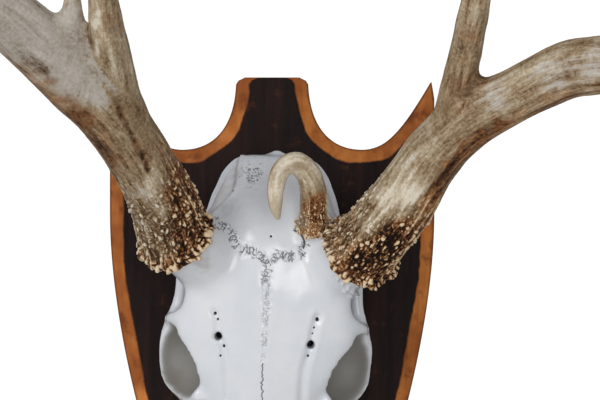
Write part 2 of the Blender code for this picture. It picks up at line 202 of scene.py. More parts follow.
def settle(thing):
    """Reads the object back with its modifiers applied."""
    graph = bpy.context.evaluated_depsgraph_get()
    mesh = bpy.data.meshes.new_from_object(thing.evaluated_get(graph))
    thing.modifiers.clear()
    thing.data = mesh


def melt(thing, grain, smooth_rounds):
    """Wraps one skin of squares as wide as the grain round overlapping closed shapes, and softens it."""
    wrap = thing.modifiers.new("Melt", "REMESH")
    wrap.mode = "VOXEL"
    wrap.voxel_size = grain
    soften = thing.modifiers.new("Soften", "SMOOTH")
    soften.factor = 0.5
    soften.iterations = smooth_rounds
    settle(thing)


def hollow_out(thing, cutter):
    """Takes a cutter's closed shapes away from an object and deletes the cutter."""
    cut = thing.modifiers.new("Hollow", "BOOLEAN")
    cut.operation = "DIFFERENCE"
    cut.object = cutter
    settle(thing)
    bpy.data.objects.remove(cutter, do_unlink=True)


def slice_off(thing, point, outward, reach):
    """Cuts flat what lies beyond a plane within reach of a point, and closes the cut with a flat face."""
    with reshaped(thing) as shape:
        near = [face for face in shape.faces if (face.calc_center_median() - point).length < reach]
        parts = {part for face in near for part in (*face.verts, *face.edges, face)}
        bmesh.ops.bisect_plane(shape, geom=list(parts), plane_co=point, plane_no=outward, dist=0.01 * mm)
        beyond = [vert for vert in shape.verts
                  if (vert.co - point).length < reach * 1.3 and (vert.co - point).dot(outward) > 0.02 * mm]
        bmesh.ops.delete(shape, geom=beyond, context="VERTS")
        close_rim(shape)


def close_rim(shape):
    """Fills open edges with flat faces, and keeps those edges sharp."""
    rim = [edge for edge in shape.edges if edge.is_boundary]
    for edge in rim:
        edge.smooth = False
    bmesh.ops.holes_fill(shape, edges=rim, sides=0)


def refine(thing, wanted, rounds=1):
    """Halves the squares whose points are all wanted, given a test for an array of points."""
    for _ in range(rounds):
        keep = wanted(points_of(thing))
        with reshaped(thing) as shape:
            shape.verts.ensure_lookup_table()
            edges = {edge for face in shape.faces if len(face.verts) <= 4
                     and all(keep[vert.index] for vert in face.verts) for edge in face.edges}
            bmesh.ops.subdivide_edges(shape, edges=list(edges), cuts=1, use_grid_fill=True)

# %% [markdown]
# ## Points as arrays
# Relief is worked out for all points of a piece at once: numpy holds their places, and each groove or pearl
# adds its height to one array. The points are then moved along their normals, which keeps the form and lifts
# only its surface. What a finish needs to know later, such as how deep a point lies, is kept as an attribute.

# %% Reading and moving points
def read_vectors(items, name):
    """One vector for each item, as the rows of an array."""
    values = np.empty(len(items) * 3)
    items.foreach_get(name, values)
    return values.reshape(-1, 3)


def points_of(thing):
    return read_vectors(thing.data.vertices, "co")


def normals_of(thing):
    return read_vectors(thing.data.vertex_normals, "vector")


def raise_points(thing, heights):
    """Moves every point along its normal by its own height, in metres."""
    moved = points_of(thing) + normals_of(thing) * heights[:, None]
    thing.data.vertices.foreach_set("co", moved.ravel())
    thing.data.update()


def keep_attribute(thing, name, values):
    kind = "FLOAT_VECTOR" if values.ndim == 2 else "FLOAT"
    layer = thing.data.attributes.new(name, kind, "POINT")
    layer.data.foreach_set("vector" if values.ndim == 2 else "value", values.astype(np.float32).ravel())


def noise_at(places, scale):
    """Smooth noise from -1 to 1 at each place, with scale as one number or one for each direction."""
    return np.array([noise.noise(Vector(place)) for place in places * np.array(scale)])


def rise(values, start, end):
    """0 below start, 1 above end and a smooth step between them."""
    share = np.clip((values - start) / (end - start), 0, 1)
    return share * share * (3 - 2 * share)


def bell(values, width):
    return np.exp(-(values / width) ** 2)


def near_line(places, line, reach):
    """The distance of each place to a line of points, or reach where it is further."""
    width = len(line[0])
    found = np.full(len(places), float(reach))
    line = np.array(line)
    inside = np.all((places > line.min(0) - reach) & (places < line.max(0) + reach), axis=1)
    tree = kdtree.KDTree(len(line))
    for index, spot in enumerate(line):
        tree.insert((*spot, 0.0) if width == 2 else spot, index)
    tree.balance()
    for index in np.nonzero(inside)[0]:
        place = places[index]
        found[index] = min(tree.find((*place, 0.0) if width == 2 else place)[2], reach)
    return found


def show_count(thing):
    thing.data.calc_loop_triangles()
    print(thing.name, len(thing.data.loop_triangles), "triangles")

# %% [markdown]
# ## The skull's own measures
# A skull is easiest to describe from its crest: how far aside, how far down towards the nose and how far in
# front of the board. One matrix turns these shares into the place and the slight roll that the skull has on
# its board. Its stations are those of the solid, so that the fine bone fills the same space. One small lump
# on the crest is the scene's own.

# %% Skull stations
board_thickness = -board_low.y
touching_gap = 0.3 * mm
loft_sides = 64
loft_steps = 8
lump_sides = 28
skull_length = 285 * mm
skull_unit = skull_length / 285
crest_height = 132 * mm
crest_aside = 3.1 * mm
skull_roll = math.radians(3.2)
skull_place = (Matrix.Translation((crest_aside, -board_thickness - touching_gap, crest_height))
               @ Matrix.Rotation(skull_roll, 4, "Y"))

braincase_and_face = [
    (0.5, 15, 46, 30, 40), (3, 22, 51, 25, 40), (10, 28.5, 59, 20, 40), (18, 32, 69, 18, 42),
    (27, 35.5, 78, 17, 44), (38, 37, 85, 16, 46), (50, 36.5, 88.5, 16, 47), (62, 35, 89.5, 17, 48),
    (74, 32, 89.5, 19, 50), (92, 27, 87.5, 24, 54), (112, 26, 83, 24, 52), (130, 33, 77.5, 19, 47),
    (145, 35, 73, 17, 42), (160, 32.5, 69, 16, 40), (178, 28, 65.5, 15.5, 38), (198, 23.5, 61.5, 15, 35),
    (218, 19.5, 57, 15, 32), (238, 16.5, 51.5, 14, 29), (252, 15, 46, 13.5, 27), (262, 14.5, 38, 13, 24),
    (274, 13, 28, 12.5, 20), (284, 8, 22, 13.5, 18)]

frontal_plate = [
    (44, 33, 86, 62, 72), (56, 41, 88, 64, 74), (68, 43, 89, 65, 75), (80, 44.5, 88.5, 64, 74),
    (90, 47.5, 87, 63, 74), (97, 47, 86, 61, 73), (106, 44, 84, 58, 70), (116, 40, 81.5, 55, 67),
    (126, 34, 78.5, 51, 63), (138, 27, 75, 47, 59)]

zygomatic_arch = [
    (34, 38, 36, 5.5), (41, 46, 37, 5), (46.5, 62, 38, 4.2), (48, 80, 39, 4), (51.5, 92, 40, 4),
    (54.5, 102, 42, 3.6), (53.5, 114, 43, 3.6), (48.5, 126, 43, 3.8), (39, 136, 42, 4.8), (31, 146, 38, 6)]

brow_bar = [(43, 88, 74, 5), (49.5, 90, 67, 3.8), (52, 91, 56, 3.3), (52, 92, 42, 3.8)]
tear_ridge = [(32, 129, 68, 4.5), (37, 132, 60, 3.6), (40, 133, 52, 3.6), (40, 134, 42, 4.5)]


def on_skull(aside, down, front):
    return skull_place @ (Vector((aside, -front, -down)) * skull_unit)


def skull_tube(shape, stations, side=1):
    """Stations are (aside, down, front, radius), and side -1 mirrors them."""
    tube(shape, [(on_skull(side * a, d, f), r * skull_unit, r * skull_unit) for a, d, f, r in stations])


def skull_lump(shape, aside, down, front, radii):
    ellipsoid(shape, on_skull(aside, down, front), [radius * skull_unit for radius in radii], lump_sides)


def skull_loft(shape, stations, squareness):
    """Rings across the skull from (down, half width, front, back, height of the widest level)."""
    rings = []
    for down, half, front, back, level in smooth_through(stations, loft_steps):
        ring = []
        for side in range(loft_sides):
            turn = 2 * math.pi * side / loft_sides
            reach = math.copysign(abs(math.cos(turn)) ** (2 / squareness), math.cos(turn)) * half
            lift = abs(math.sin(turn)) ** (2 / squareness)
            height = level + lift * (front - level if math.sin(turn) > 0 else back - level)
            ring.append(on_skull(reach, down, height))
        rings.append(ring)
    skin(shape, rings)

# %% [markdown]
# ## Pedicles and burrs
# An antler stands on a bony stump, the pedicle, and starts with a collar of bone pearls, the burr. The white
# coat ends there. Each burr has a middle on the skull and a direction it leans in, and both the skull's stump
# and the antler's foot are cut flat across that direction with a hair's breadth between them.

# %% Burr places
burr_radius = 22.5 * mm
burr_pearl = 4.2 * mm
pedicle_radius = 15.5 * mm
burr_lift = 3.5 * mm
third_burr_radius = 10.2 * mm
third_burr_pearl = 2.4 * mm
third_pedicle_radius = 7.2 * mm
third_burr_lift = 1.6 * mm

left_burr = (-49.8, 45.0, 94)
right_burr = (47.3, 47.5, 94)
third_burr = (21.4, 36.0, 87)
left_lean = Vector((-0.40, -0.76, 0.50)).normalized()
right_lean = Vector((0.40, -0.76, 0.50)).normalized()
third_lean = Vector((0.02, -0.78, 0.62)).normalized()


def add_pedicle(shape, burr, lean, side):
    """A stump that grows out of the frontal bone and narrows under the burr."""
    top = on_skull(*burr) + lean * burr_lift
    neck = on_skull(*burr) - lean * burr_lift * 2
    tube(shape, [(on_skull(side * 26, 60, 58), pedicle_radius * 1.6, pedicle_radius * 1.6),
                 (on_skull(side * 35, 55, 75), pedicle_radius * 1.25, pedicle_radius * 1.25),
                 (neck, pedicle_radius, pedicle_radius), (top, pedicle_radius, pedicle_radius)])


def add_third_pedicle(shape):
    top = on_skull(*third_burr) + third_lean * third_burr_lift
    foot = on_skull(*third_burr) - third_lean * 20 * skull_unit
    tube(shape, [(foot, third_pedicle_radius * 1.6, third_pedicle_radius * 1.6),
                 ((foot + top) / 2, third_pedicle_radius * 1.2, third_pedicle_radius * 1.2),
                 (top, third_pedicle_radius, third_pedicle_radius)])

# %% [markdown]
# ## Bone, teeth and hollows
# The braincase and face are one loft, and the broad frontal bone is a second one over it. Bars, cups and
# teeth are laid on both sides by the same functions, so the two halves match as they do in life. Then one
# cutter takes out what is open: the eye sockets, the temples, the nose, the palate and the back of the
# braincase.

# %% Skull parts
cheek_teeth = 6
small_teeth = 3
tooth_length = 12.2
tooth_row_front = 205.0


def add_skull_base(shape, side):
    skull_lump(shape, side * 11, 10, 21, (8, 10, 9))
    skull_lump(shape, side * 20, 38, 18, (7.5, 8, 11))
    skull_lump(shape, side * 27, 40, 34, (12, 14, 14))
    skull_tube(shape, [(20, 18, 30, 6), (23, 17, 18, 4.5), (23, 19, 5, 2.4)], side)
    skull_tube(shape, [(10, 92, 30, 4), (11, 82, 18, 2.8), (11.5, 74, 10, 2.0)], side)
    skull_tube(shape, [(15, 122, 26, 5), (10, 104, 22, 4), (9, 90, 26, 4)], side)


def add_muzzle(shape, side):
    """The jaw bar beside the nose opening and half of the nasal tip."""
    skull_tube(shape, [(15, 226, 40, 6), (14.5, 246, 32, 4.8), (12.5, 264, 24, 4.2), (8, 278, 19, 4.2),
                       (3.5, 284, 18, 4)], side)
    skull_tube(shape, [(7, 224, 53, 5.5), (5.5, 246, 48.5, 4.6), (4.2, 263, 44.5, 2.4)], side)


def tooth_row():
    """Places and sizes of six cheek teeth in a row that spreads backwards, the front ones smaller."""
    down = tooth_row_front
    for number in range(cheek_teeth):
        small = number < small_teeth
        length = tooth_length * (0.78 if small else 1.12)
        down -= length
        yield down, length, 20.5 + number * 1.5, 4.6 if small else 6.2


def add_teeth(shape, side):
    for down, length, aside, width in tooth_row():
        for lobe in (0.27, 0.73):
            skull_lump(shape, side * aside, down + length * lobe, 11.0, (width, 11.0, length * 0.33))


def skull_body():
    shape = bmesh.new()
    skull_loft(shape, braincase_and_face, 2.3)
    skull_loft(shape, frontal_plate, 2.1)
    skull_lump(shape, 0.5, 4.6, 34, (7.5, 4.2, 8))
    for side in (-1, 1):
        skull_lump(shape, side * 40, 113, 47, (18, 21, 21.5))
        skull_lump(shape, side * 27, 62, 66, (19, 22, 26))
        for bar in (zygomatic_arch, brow_bar, tear_ridge):
            skull_tube(shape, bar, side)
        add_teeth(shape, side)
        add_skull_base(shape, side)
        add_muzzle(shape, side)
    add_pedicle(shape, left_burr, left_lean, -1)
    add_pedicle(shape, right_burr, right_lean, 1)
    add_third_pedicle(shape)
    return shape


def skull_hollows():
    shape = bmesh.new()
    for side in (-1, 1):
        skull_lump(shape, side * 46.5, 112, 59.5, (18, 17.5, 21.5))
        skull_lump(shape, side * 37, 68, 46, (6, 26, 19))
    skull_lump(shape, 0, 0, 24, (7.5, 9, 16))
    skull_lump(shape, 0, 104, 6, (8, 18, 14))
    skull_lump(shape, 0, 262, 35, (9.5, 12.5, 20))
    skull_lump(shape, 0, 176, 6, (13, 7.5, 36))
    return object_from("hollows", shape)

# %% Melt the skull
bone_grain = 1.6 * mm
skull = object_from("skull_bone", skull_body())
melt(skull, bone_grain * 1.15, 2)
hollow_out(skull, skull_hollows())
melt(skull, bone_grain, 6)
for burr, lean, lift, reach in ((left_burr, left_lean, burr_lift, burr_radius * 1.1),
                                (right_burr, right_lean, burr_lift, burr_radius * 1.1),
                                (third_burr, third_lean, third_burr_lift, third_burr_radius * 1.15)):
    slice_off(skull, on_skull(*burr) - lean * (lift + touching_gap), lean, reach)
show_count(skull)

# %% [markdown]
# ## Sutures, holes and vessel grooves
# Where skull bones meet they lock together in a looping seam. It can't be read from any texture, so its line
# is made: a smooth route across the forehead, and a swing to both sides of it that folds back on itself. The
# bone is refined only along such lines, then pressed in by a bell-shaped groove. Holes for vessels above the
# eyes are pressed in the same way, only deeper, and each has a shallow groove running on towards the face.
# A crack is a plain route pushed aside by noise. Crumbs of bone beside the right burr are raised as small
# bells, and the gaps between the cheek teeth and their lobes are pressed in.

# %% Lines on the bone
coronal_route = [(-32.0, 37.5), (-27.0, 38.5), (-23.2, 40.5), (-19.8, 44.5), (-15.6, 50.4), (-9.9, 51.1),
                 (-5.0, 53.9), (-0.7, 56.2), (5.2, 52.2), (10.2, 53.1), (15.6, 52.0), (17.6, 48.0)]
coronal_crack = [(17.4, 48.5), (17.2, 44.5), (15.0, 41.5), (12.1, 39.5)]
frontal_route = [(-0.7, 56.4), (-1.0, 66.0), (-0.3, 76.4), (-0.6, 87.0), (-0.4, 100.0), (-0.4, 110.5)]
frontal_crack = [(-0.4, 110.0), (-0.7, 114.0), (-0.1, 119.0), (-0.5, 123.0), (0.3, 129.4), (0.0, 138.0),
                 (0.4, 150.0), (-0.2, 165.0), (0.2, 182.0), (0.0, 200.0), (0.2, 222.0)]
holes = [(-24.8, 97.4, 1.9), (-27.0, 85.2, 0.75), (-25.4, 88.2, 0.55), (-21.5, 102.4, 0.7),
         (-22.9, 107.3, 0.5), (24.1, 99.2, 1.9), (26.7, 85.4, 0.9), (25.3, 89.8, 0.5), (24.6, 93.0, 0.4),
         (23.0, 105.2, 0.6),
         (0.1, 43.3, 0.55), (-21.7, 21.0, 0.6)]
bone_crumbs = [(33.5, 60.5, 1.6), (36.0, 62.8, 2.2), (38.6, 65.2, 1.8), (41.2, 67.4, 2.4), (44.0, 69.6, 2.0),
               (46.4, 71.6, 2.4), (40.0, 69.8, 1.5), (43.2, 72.6, 1.4)]
vessel_grooves = [[(-24.8, 97.4), (-21.7, 102.4), (-19.4, 111.9), (-18.5, 121.0), (-18.6, 131.0)],
                  [(-27.2, 84.0), (-25.2, 89.0), (-24.8, 97.4)],
                  [(24.1, 99.2), (22.8, 105.3), (21.1, 112.3), (20.7, 122.0), (21.0, 131.0)],
                  [(26.9, 84.0), (25.2, 90.5), (24.1, 99.2)]]


def looping_line(route, size_at, seed):
    """A suture: a line that sways so far to both sides of its heading that it folds into loops."""
    path = np.array(smooth_through(route, 30))
    steps = np.hypot(*np.diff(path, axis=0).T)
    gone = np.concatenate([[0.0], np.cumsum(steps)])
    stride = 0.12
    pull_back = 0.997
    line = []
    along = aside = phase = 0.0
    while along < gone[-1]:
        size = size_at(along / gone[-1])
        restless = noise.noise(Vector((len(line) * 0.02, seed, 0.0)))
        heading = (1.85 + 0.9 * restless) * math.sin(phase)
        along += stride * math.cos(heading)
        aside = (aside + stride * math.sin(heading)) * pull_back
        loop_length = size * (4.6 + 2.0 * noise.noise(Vector((seed, len(line) * 0.013, 3.0))))
        phase += 2 * math.pi * stride / loop_length
        x, down = (np.interp(along, gone, path[:, axis]) for axis in (0, 1))
        ahead = [np.interp(along + 1.0, gone, path[:, axis]) - np.interp(along - 1.0, gone, path[:, axis])
                 for axis in (0, 1)]
        length = math.hypot(*ahead)
        line.append(Vector((x - ahead[1] / length * aside, down + ahead[0] / length * aside)))
    return line


suture_lines = [
    looping_line(coronal_route, lambda share: 1.9, 1.3),
    looping_line(frontal_route, lambda share: 2.6 - 1.9 * share, 3.7)]


def zigzag(route, swing, seed):
    """A crack: the route, pushed aside by uneven noise."""
    return [Vector((x + swing * noise.noise(Vector((down * 0.42, seed, 0.0)))
                    + 0.5 * swing * noise.noise(Vector((down * 1.1, seed, 7.0))), down))
            for x, down in smooth_through(route, 40)]


crack_lines = [zigzag(coronal_crack, 0.4, 2.0), zigzag(frontal_crack, 1.1, 5.0)]
print("suture points", sum(len(line) for line in suture_lines))


def skull_places(points):
    """Points as (aside, down) and their height in front, in the skull's own shares."""
    turn = np.array(skull_place.inverted())
    local = (points @ turn[:3, :3].T + turn[:3, 3]) / skull_unit
    return np.stack([local[:, 0], -local[:, 2]], axis=1), -local[:, 1]


far_away = 99.0
crack_start = 6
crumbs_middle = (40, 67)
crumbs_reach = 8.2
crumbs_front = 60
line_reaches = (3.1, 2.5, 2.0)


def front_lines_near(points, reach):
    """Whether each point is within reach of a suture, crack, hole or the marks on the crest."""
    places, front = skull_places(points)
    near = np.full(len(points), far_away)
    for line in (coronal_route, frontal_route, coronal_crack, frontal_crack[:crack_start]):
        dense = smooth_through(line, 12)
        near = np.minimum(near, near_line(places, dense, reach + 1))
    near = np.minimum(near, np.hypot(places[:, 0] + 13, (places[:, 1] - 11) * 1.15) - 3.5)
    for aside, down, radius in holes:
        near = np.minimum(near, np.hypot(places[:, 0] - aside, places[:, 1] - down) - radius)
    return (near < reach) & (front > 55)


def crumbs_near(points):
    places, front = skull_places(points)
    away = np.hypot(places[:, 0] - crumbs_middle[0], places[:, 1] - crumbs_middle[1])
    return (away < crumbs_reach) & (front > crumbs_front)


refine(skull, crumbs_near, rounds=2)
for reach in line_reaches:
    refine(skull, lambda points: front_lines_near(points, reach))
show_count(skull)

# %% Press the lines and holes into the bone
line_edge = 1.6
suture_width = 0.24
crack_widths = (0.6, 0.36)
bone = points_of(skull)
places, front = skull_places(bone)
facing_front = rise(-normals_of(skull)[:, 1], 0.05, 0.35) * (front > 45)
heights = 0.22 * noise_at(bone, 1 / (14 * mm)) + 0.07 * noise_at(bone, 1 / (4 * mm))
knots = noise_at(bone, 1 / (1.7 * mm))
patchy = rise(noise_at(bone, 1 / (3.2 * mm)), -0.45, 0.05)
to_coronal = near_line(places, smooth_through(coronal_route, 12), 6)
to_frontal = near_line(places, smooth_through(frontal_route, 12), 6)
frontal_width = np.interp(places[:, 1], [56, 75, 95, 112], [4.0, 3.4, 2.4, 1.0])
crest_marks = bell(np.hypot((places[:, 0] + 12.5) / 9.0, (places[:, 1] - 11) / 8.0), 1.0)
seam_band = np.maximum(1 - rise(to_coronal, 2.2, 4.2),
                       1 - rise(to_frontal, frontal_width * 0.6, frontal_width * 1.25))
# The seam mark darkens the sutures and cracks: partly their seam colour, partly painted shade in their
# grooves
line_mark = bell(knots, 0.15) * np.maximum(seam_band * patchy, 1.2 * crest_marks * patchy)
for line in suture_lines:
    seam = bell(near_line(places, line, line_edge), suture_width) * (0.25 + 0.75 * patchy)
    line_mark = np.maximum(line_mark, seam)
line_mark *= 1 - 0.42 * rise(places[:, 1], 57, 75)
for line, width in zip(crack_lines, crack_widths):
    line_mark = np.maximum(line_mark, bell(near_line(places, line, line_edge), width))
line_mark *= facing_front
heights += (0.5 * seam_band * knots - 0.45 * line_mark) * facing_front
# The open crack is painted near black: painted shade in its gap
open_crack_width = 0.42
open_crack_shade = 0.8 * bell(near_line(places, crack_lines[0], line_edge), open_crack_width)

crumb_width = 1.15
for aside, down, size in bone_crumbs:
    away = np.hypot(places[:, 0] - aside, places[:, 1] - down)
    heights += size * bell(away, crumb_width) * (front > crumbs_front)
for down, length, aside, width in tooth_row():
    on_row = (front < 18) * (1 - rise(np.abs(np.abs(places[:, 0]) - aside), width + 1, width + 3))
    between_teeth = 2.4 * bell(places[:, 1] - down, 1.3)
    between_lobes = 1.3 * bell(places[:, 1] - down - length / 2, 1.2)
    heights -= (between_teeth + between_lobes) * on_row

# The vessel holes and the open crack are painted near black: painted shade down the openings
hole_mark = open_crack_shade
for aside, down, radius in holes:
    distance = np.hypot(places[:, 0] - aside, (places[:, 1] - down) * 0.88)
    hole_mark = np.maximum(hole_mark, 1 - rise(distance, radius * 0.9, radius * 1.2))
    dish = 0.5 * radius * bell(distance, radius * 2.0)
    shaft = radius * 1.6 * (distance < radius)
    heights -= (dish + shaft) * facing_front
hole_mark *= facing_front
for route in vessel_grooves:
    distance = near_line(places, smooth_through(route, 20), 9)
    heights += (0.35 * bell(distance - 3.4, 1.2) - 1.25 * bell(distance, 1.9)) * facing_front

ridge_down = [0.0, 6.8, 12.2, 17.6, 23.1, 28.7, 34.0]
ridge_aside = [18.6, 19.2, 19.2, 19.3, 22.0, 26.9, 32.0]
beyond_ridge = np.abs(places[:, 0]) - np.interp(places[:, 1], ridge_down, ridge_aside)
on_crest = (1 - rise(places[:, 1], 27, 37)) * (front > 40)
heights += (0.8 * bell(beyond_ridge, 1.5) - 2.8 * rise(beyond_ridge, 0.3, 4.5)) * on_crest
raise_points(skull, heights * mm)

# %% [markdown]
# ## Painted shade and bloom on the coat
# The eye sockets get a grey painted shade in their bowls. Brown patches under the burrs and on the sides of
# the crest are partly a brown bloom on the bone and partly painted shade. Those places are marked now,
# while the measures of the skull are at hand, and the finish mixes them in later.

# %% Mark the bone
socket_aside = 44
socket_down = 112
socket_front = 57
socket_radii = (17, 21, 18)
# socket shade: a grey painted shade in the bowls of the eye sockets
socket_shade = np.zeros(len(places))
for side in (-1, 1):
    from_middle = np.stack([places[:, 0] - side * socket_aside, places[:, 1] - socket_down,
                            front - socket_front], axis=1)
    away = np.sqrt(((from_middle / socket_radii) ** 2).sum(1))
    socket_shade = np.maximum(socket_shade, 1 - rise(away, 0.92, 1.10))
# Brown patches under the burrs and on the crest: partly bloom on the bone, partly painted shade
bloom_and_shade_spots = [(-34, 59, 7, 0.6), (-24, 29, 9, 0.5), (-27, 20, 8, 0.5), (38, 62, 7, 0.35), (27, 26, 10, 0.5),
          (-21, 12, 7, 0.45), (24, 12, 8, 0.4)]
bloom = np.zeros(len(places))
for aside, down, size, strength in bloom_and_shade_spots:
    away = np.hypot(places[:, 0] - aside, places[:, 1] - down)
    bloom = np.maximum(bloom, strength * bell(away, size))
# The crest's sides beyond the temporal ridge are darkened: painted shade on planes that face up and away
crest_side_shade = 0.35 * rise(beyond_ridge, 0.0, 2.5) + 0.5 * bell(beyond_ridge - 2.6, 2.2)
bloom = np.maximum(bloom, crest_side_shade * on_crest)
bloom *= 0.8 + 0.4 * noise_at(points_of(skull), 1 / (3 * mm))
for name, values in (("line_mark", line_mark), ("hole_mark", hole_mark), ("socket", socket_shade),
                     ("bloom", np.clip(bloom, 0, 1))):
    keep_attribute(skull, name, values)
skull.data.shade_smooth()
show_count(skull)

# %% [markdown]
# ## Antler stations
# Each beam and tine is a list of stations measured from the middle of its burr: right, front, up, and the
# half sizes of its oval, in millimetres. They are the solid's stations, apart from the foot of the left
# second tine, which is up to 2 mm thicker with a web under it, and the foot of the hook, which is a little
# thinner in a wider burr. The frames that each tube leaves behind tell every point of the surface how far
# along its branch it lies.

# %% Antler stations
left_branches = {
    "beam": [
        (5, -9, -7, 16.5, 16.5), (0, 0, 0, 18, 17.5), (-4, 18, 16, 17.2, 16), (-10.5, 35, 31, 16.2, 15),
        (-18.5, 51, 46.5, 16, 14), (-29, 66, 62, 16, 13.5), (-44, 80, 78, 16.8, 12.5),
        (-59, 95, 92, 15.5, 12.5), (-77, 113, 107, 14.5, 12), (-112, 138, 123, 13, 11.5),
        (-142, 172, 131, 12.3, 11.5), (-156, 210, 129, 11.5, 10.5), (-147, 250, 121, 9.8, 9.2),
        (-116, 281, 112, 7.6, 7.2), (-70, 297, 106, 5, 5), (-32, 301, 102, 1.4, 1.4)],
    "brow tine": [
        (-12, 40, 36, 9, 9), (-16, 56, 53, 9.8, 9), (-21, 70, 69, 9.4, 9), (-23.2, 86, 85, 9.2, 8.8),
        (-24.7, 103, 100, 8.2, 7.8), (-25.2, 116, 112, 7.2, 6.9), (-26, 134, 134, 5.7, 5.7),
        (-29, 146, 156, 4.2, 4.2), (-33, 153, 176, 1.2, 1.2)],
    "web": [(-43, 77, 68, 11, 7.5), (-38, 83, 83, 11, 6), (-36, 89, 95, 6.5, 4.5)],
    "second tine": [
        (-47, 80, 78, 12, 9), (-43.5, 88, 91, 11, 7), (-41, 97, 103, 6.2, 5.2), (-39.5, 107, 115, 3.7, 3.8),
        (-40, 120, 133, 3.1, 3.1), (-43, 134, 154, 1.2, 1.2)],
    "third tine": [
        (-138, 152, 126, 9, 8.5), (-144, 172, 148, 8.2, 7.6), (-146, 190, 178, 7, 6.5),
        (-142, 206, 208, 5, 4.6), (-134, 217, 236, 1.3, 1.3)],
    "fourth tine": [
        (-152, 228, 124, 8.5, 8), (-157, 246, 144, 7.2, 6.8), (-157, 262, 170, 5.2, 5),
        (-151, 276, 196, 1.3, 1.3)]}

right_branches = {
    "beam": [
        (-5, -9, -7, 16.5, 16.5), (0, 0, 0, 18, 17.5), (11, 17, 14, 17, 16.5), (20.5, 27, 27, 16.5, 15),
        (29, 37, 40.5, 15.2, 14.5), (39, 47, 54, 14.8, 13.5), (52, 60, 66, 14.6, 13),
        (71.5, 73, 76, 13.3, 12.5), (91, 85, 85.5, 14, 12.5), (108, 95, 88.5, 14.4, 12.5),
        (143, 115, 89.5, 13.2, 12), (168, 148, 92, 12, 11), (177, 185, 98, 11.2, 10.5),
        (168, 222, 106, 10, 9.4), (141, 252, 112, 8.4, 8), (103, 272, 110, 7, 6.8),
        (58, 285, 108, 5.6, 5.4),
        (12, 292, 105.5, 4.4, 4.4), (-26, 292, 104, 3.2, 3.2), (-45, 290, 99, 1.2, 1.2)],
    "brow tine": [
        (37, 42, 48, 9.5, 9), (42, 55, 66, 9.4, 9), (45.5, 67, 87, 8.4, 8.4), (48.3, 80, 104.6, 7.8, 7.8),
        (50.5, 92, 120, 7.3, 7.3), (54, 103, 147, 6.2, 6.2), (58, 113, 175, 4.5, 4.5),
        (60, 121, 201, 1.2, 1.2)],
    "second tine": [
        (122, 96, 86, 9.5, 9), (130, 116, 110, 8.6, 8.2), (138, 138, 142, 7.4, 7), (142, 154, 182, 5.4, 5.2),
        (140, 164, 222, 1.3, 1.3)],
    "third tine": [
        (176, 178, 96, 8.5, 8), (180, 200, 122, 7.4, 7), (180, 220, 152, 5.4, 5.2),
        (172, 234, 186, 1.3, 1.3)]}

third_branches = {
    "hook": [
        (0, -4, -4, 7, 7), (0, 0, 0, 7.2, 7.2), (0.3, 7, 9, 6.9, 6.9), (0, 14, 18, 6.9, 6.6),
        (-2.5, 20, 26, 6.5, 6), (-9, 24, 31.5, 5.8, 5.4), (-16, 26, 28, 5.2, 4.9),
        (-19, 25.5, 18.5, 4.6, 4.4),
        (-19, 23.5, 9.5, 3.5, 3.4), (-17.6, 21, 2.5, 1.2, 1.2)]}

# %% [markdown]
# ## Growing an antler
# The tubes are melted together like the bone. Then the burr is laid on, and a second melt at a finer grain
# joins it and leaves its pearls apart. A real burr has no two pearls alike, so three rings of them get seeded
# random sizes: long petals round the edge and two rings of smaller beads above.

# %% Tubes and burr pearls
pearl_sides = 12


def add_burr(shape, root, lean, radius, pearl, count, chance):
    """A disc with a ring of long petals round its edge and two rings of smaller beads above them."""
    first = lean.orthogonal().normalized()
    second = lean.cross(first)
    tube(shape, [(root - lean * pearl, radius - pearl * 0.75, radius - pearl * 0.75),
                 (root + lean * pearl * 0.8, radius - pearl * 1.2, radius - pearl * 1.2)], 36, 2)
    rings = ((count, 0.0, -0.15, 0.8), (count, 1.5, 0.7, 0.45), (count - 3, 2.1, 1.5, 0.36))
    for ring, (number, inset, lift, size) in enumerate(rings):
        for place in range(number):
            turn = 2 * math.pi * (place + chance.uniform(-0.35, 0.35) + ring / 2) / number
            outward = first * math.cos(turn) + second * math.sin(turn)
            swell = size * chance.uniform(0.55, 1.3)
            long_way = outward.to_track_quat("X", "Z").to_matrix().to_4x4()
            spot = (root + outward * (radius - pearl * (max(swell, 0.7) * 1.2 + inset * 0.5))
                    + lean * pearl * (lift + chance.uniform(-0.35, 0.35)))
            radii = (pearl * swell * chance.uniform(1.15, 1.4), pearl * swell * chance.uniform(0.65, 0.95),
                     pearl * swell * 0.75)
            ellipsoid(shape, spot, radii, pearl_sides, long_way)


def grow(name, burr, lean, branches, unit, collar, grain, count, seed):
    """One antler as a skin of squares, with the frames of its branches."""
    radius, pearl, lift = collar
    root = on_skull(*burr)
    shape = bmesh.new()
    paths = {}
    for branch, stations in branches.items():
        paths[branch] = tube(shape, [(root + Vector((x, -f, up)) * unit, across * unit, deep * unit)
                                     for x, f, up, across, deep in stations])
    branches_only = object_from("branches", shape)
    melt(branches_only, grain * 1.2, 7)
    shape = bmesh.new()
    shape.from_mesh(branches_only.data)
    bpy.data.objects.remove(branches_only, do_unlink=True)
    add_burr(shape, root, lean, radius, pearl, count, random.Random(seed))
    antler = object_from(name, shape)
    melt(antler, grain, 1)
    slice_off(antler, root - lean * lift, -lean, radius * 1.35)
    return antler, paths

# %% [markdown]
# ## Knowing the way along a branch
# Grooves run lengthwise, so a point has to know where it lies on its branch: how far from the burr, and on
# which side of the middle line. The nearest frame of every branch is found, and the branch whose surface is
# closest wins. Noise read in these places, squeezed lengthwise, gives grooves that follow each curve.

# %% Places along the branches
tine_margin = 1.2 * mm


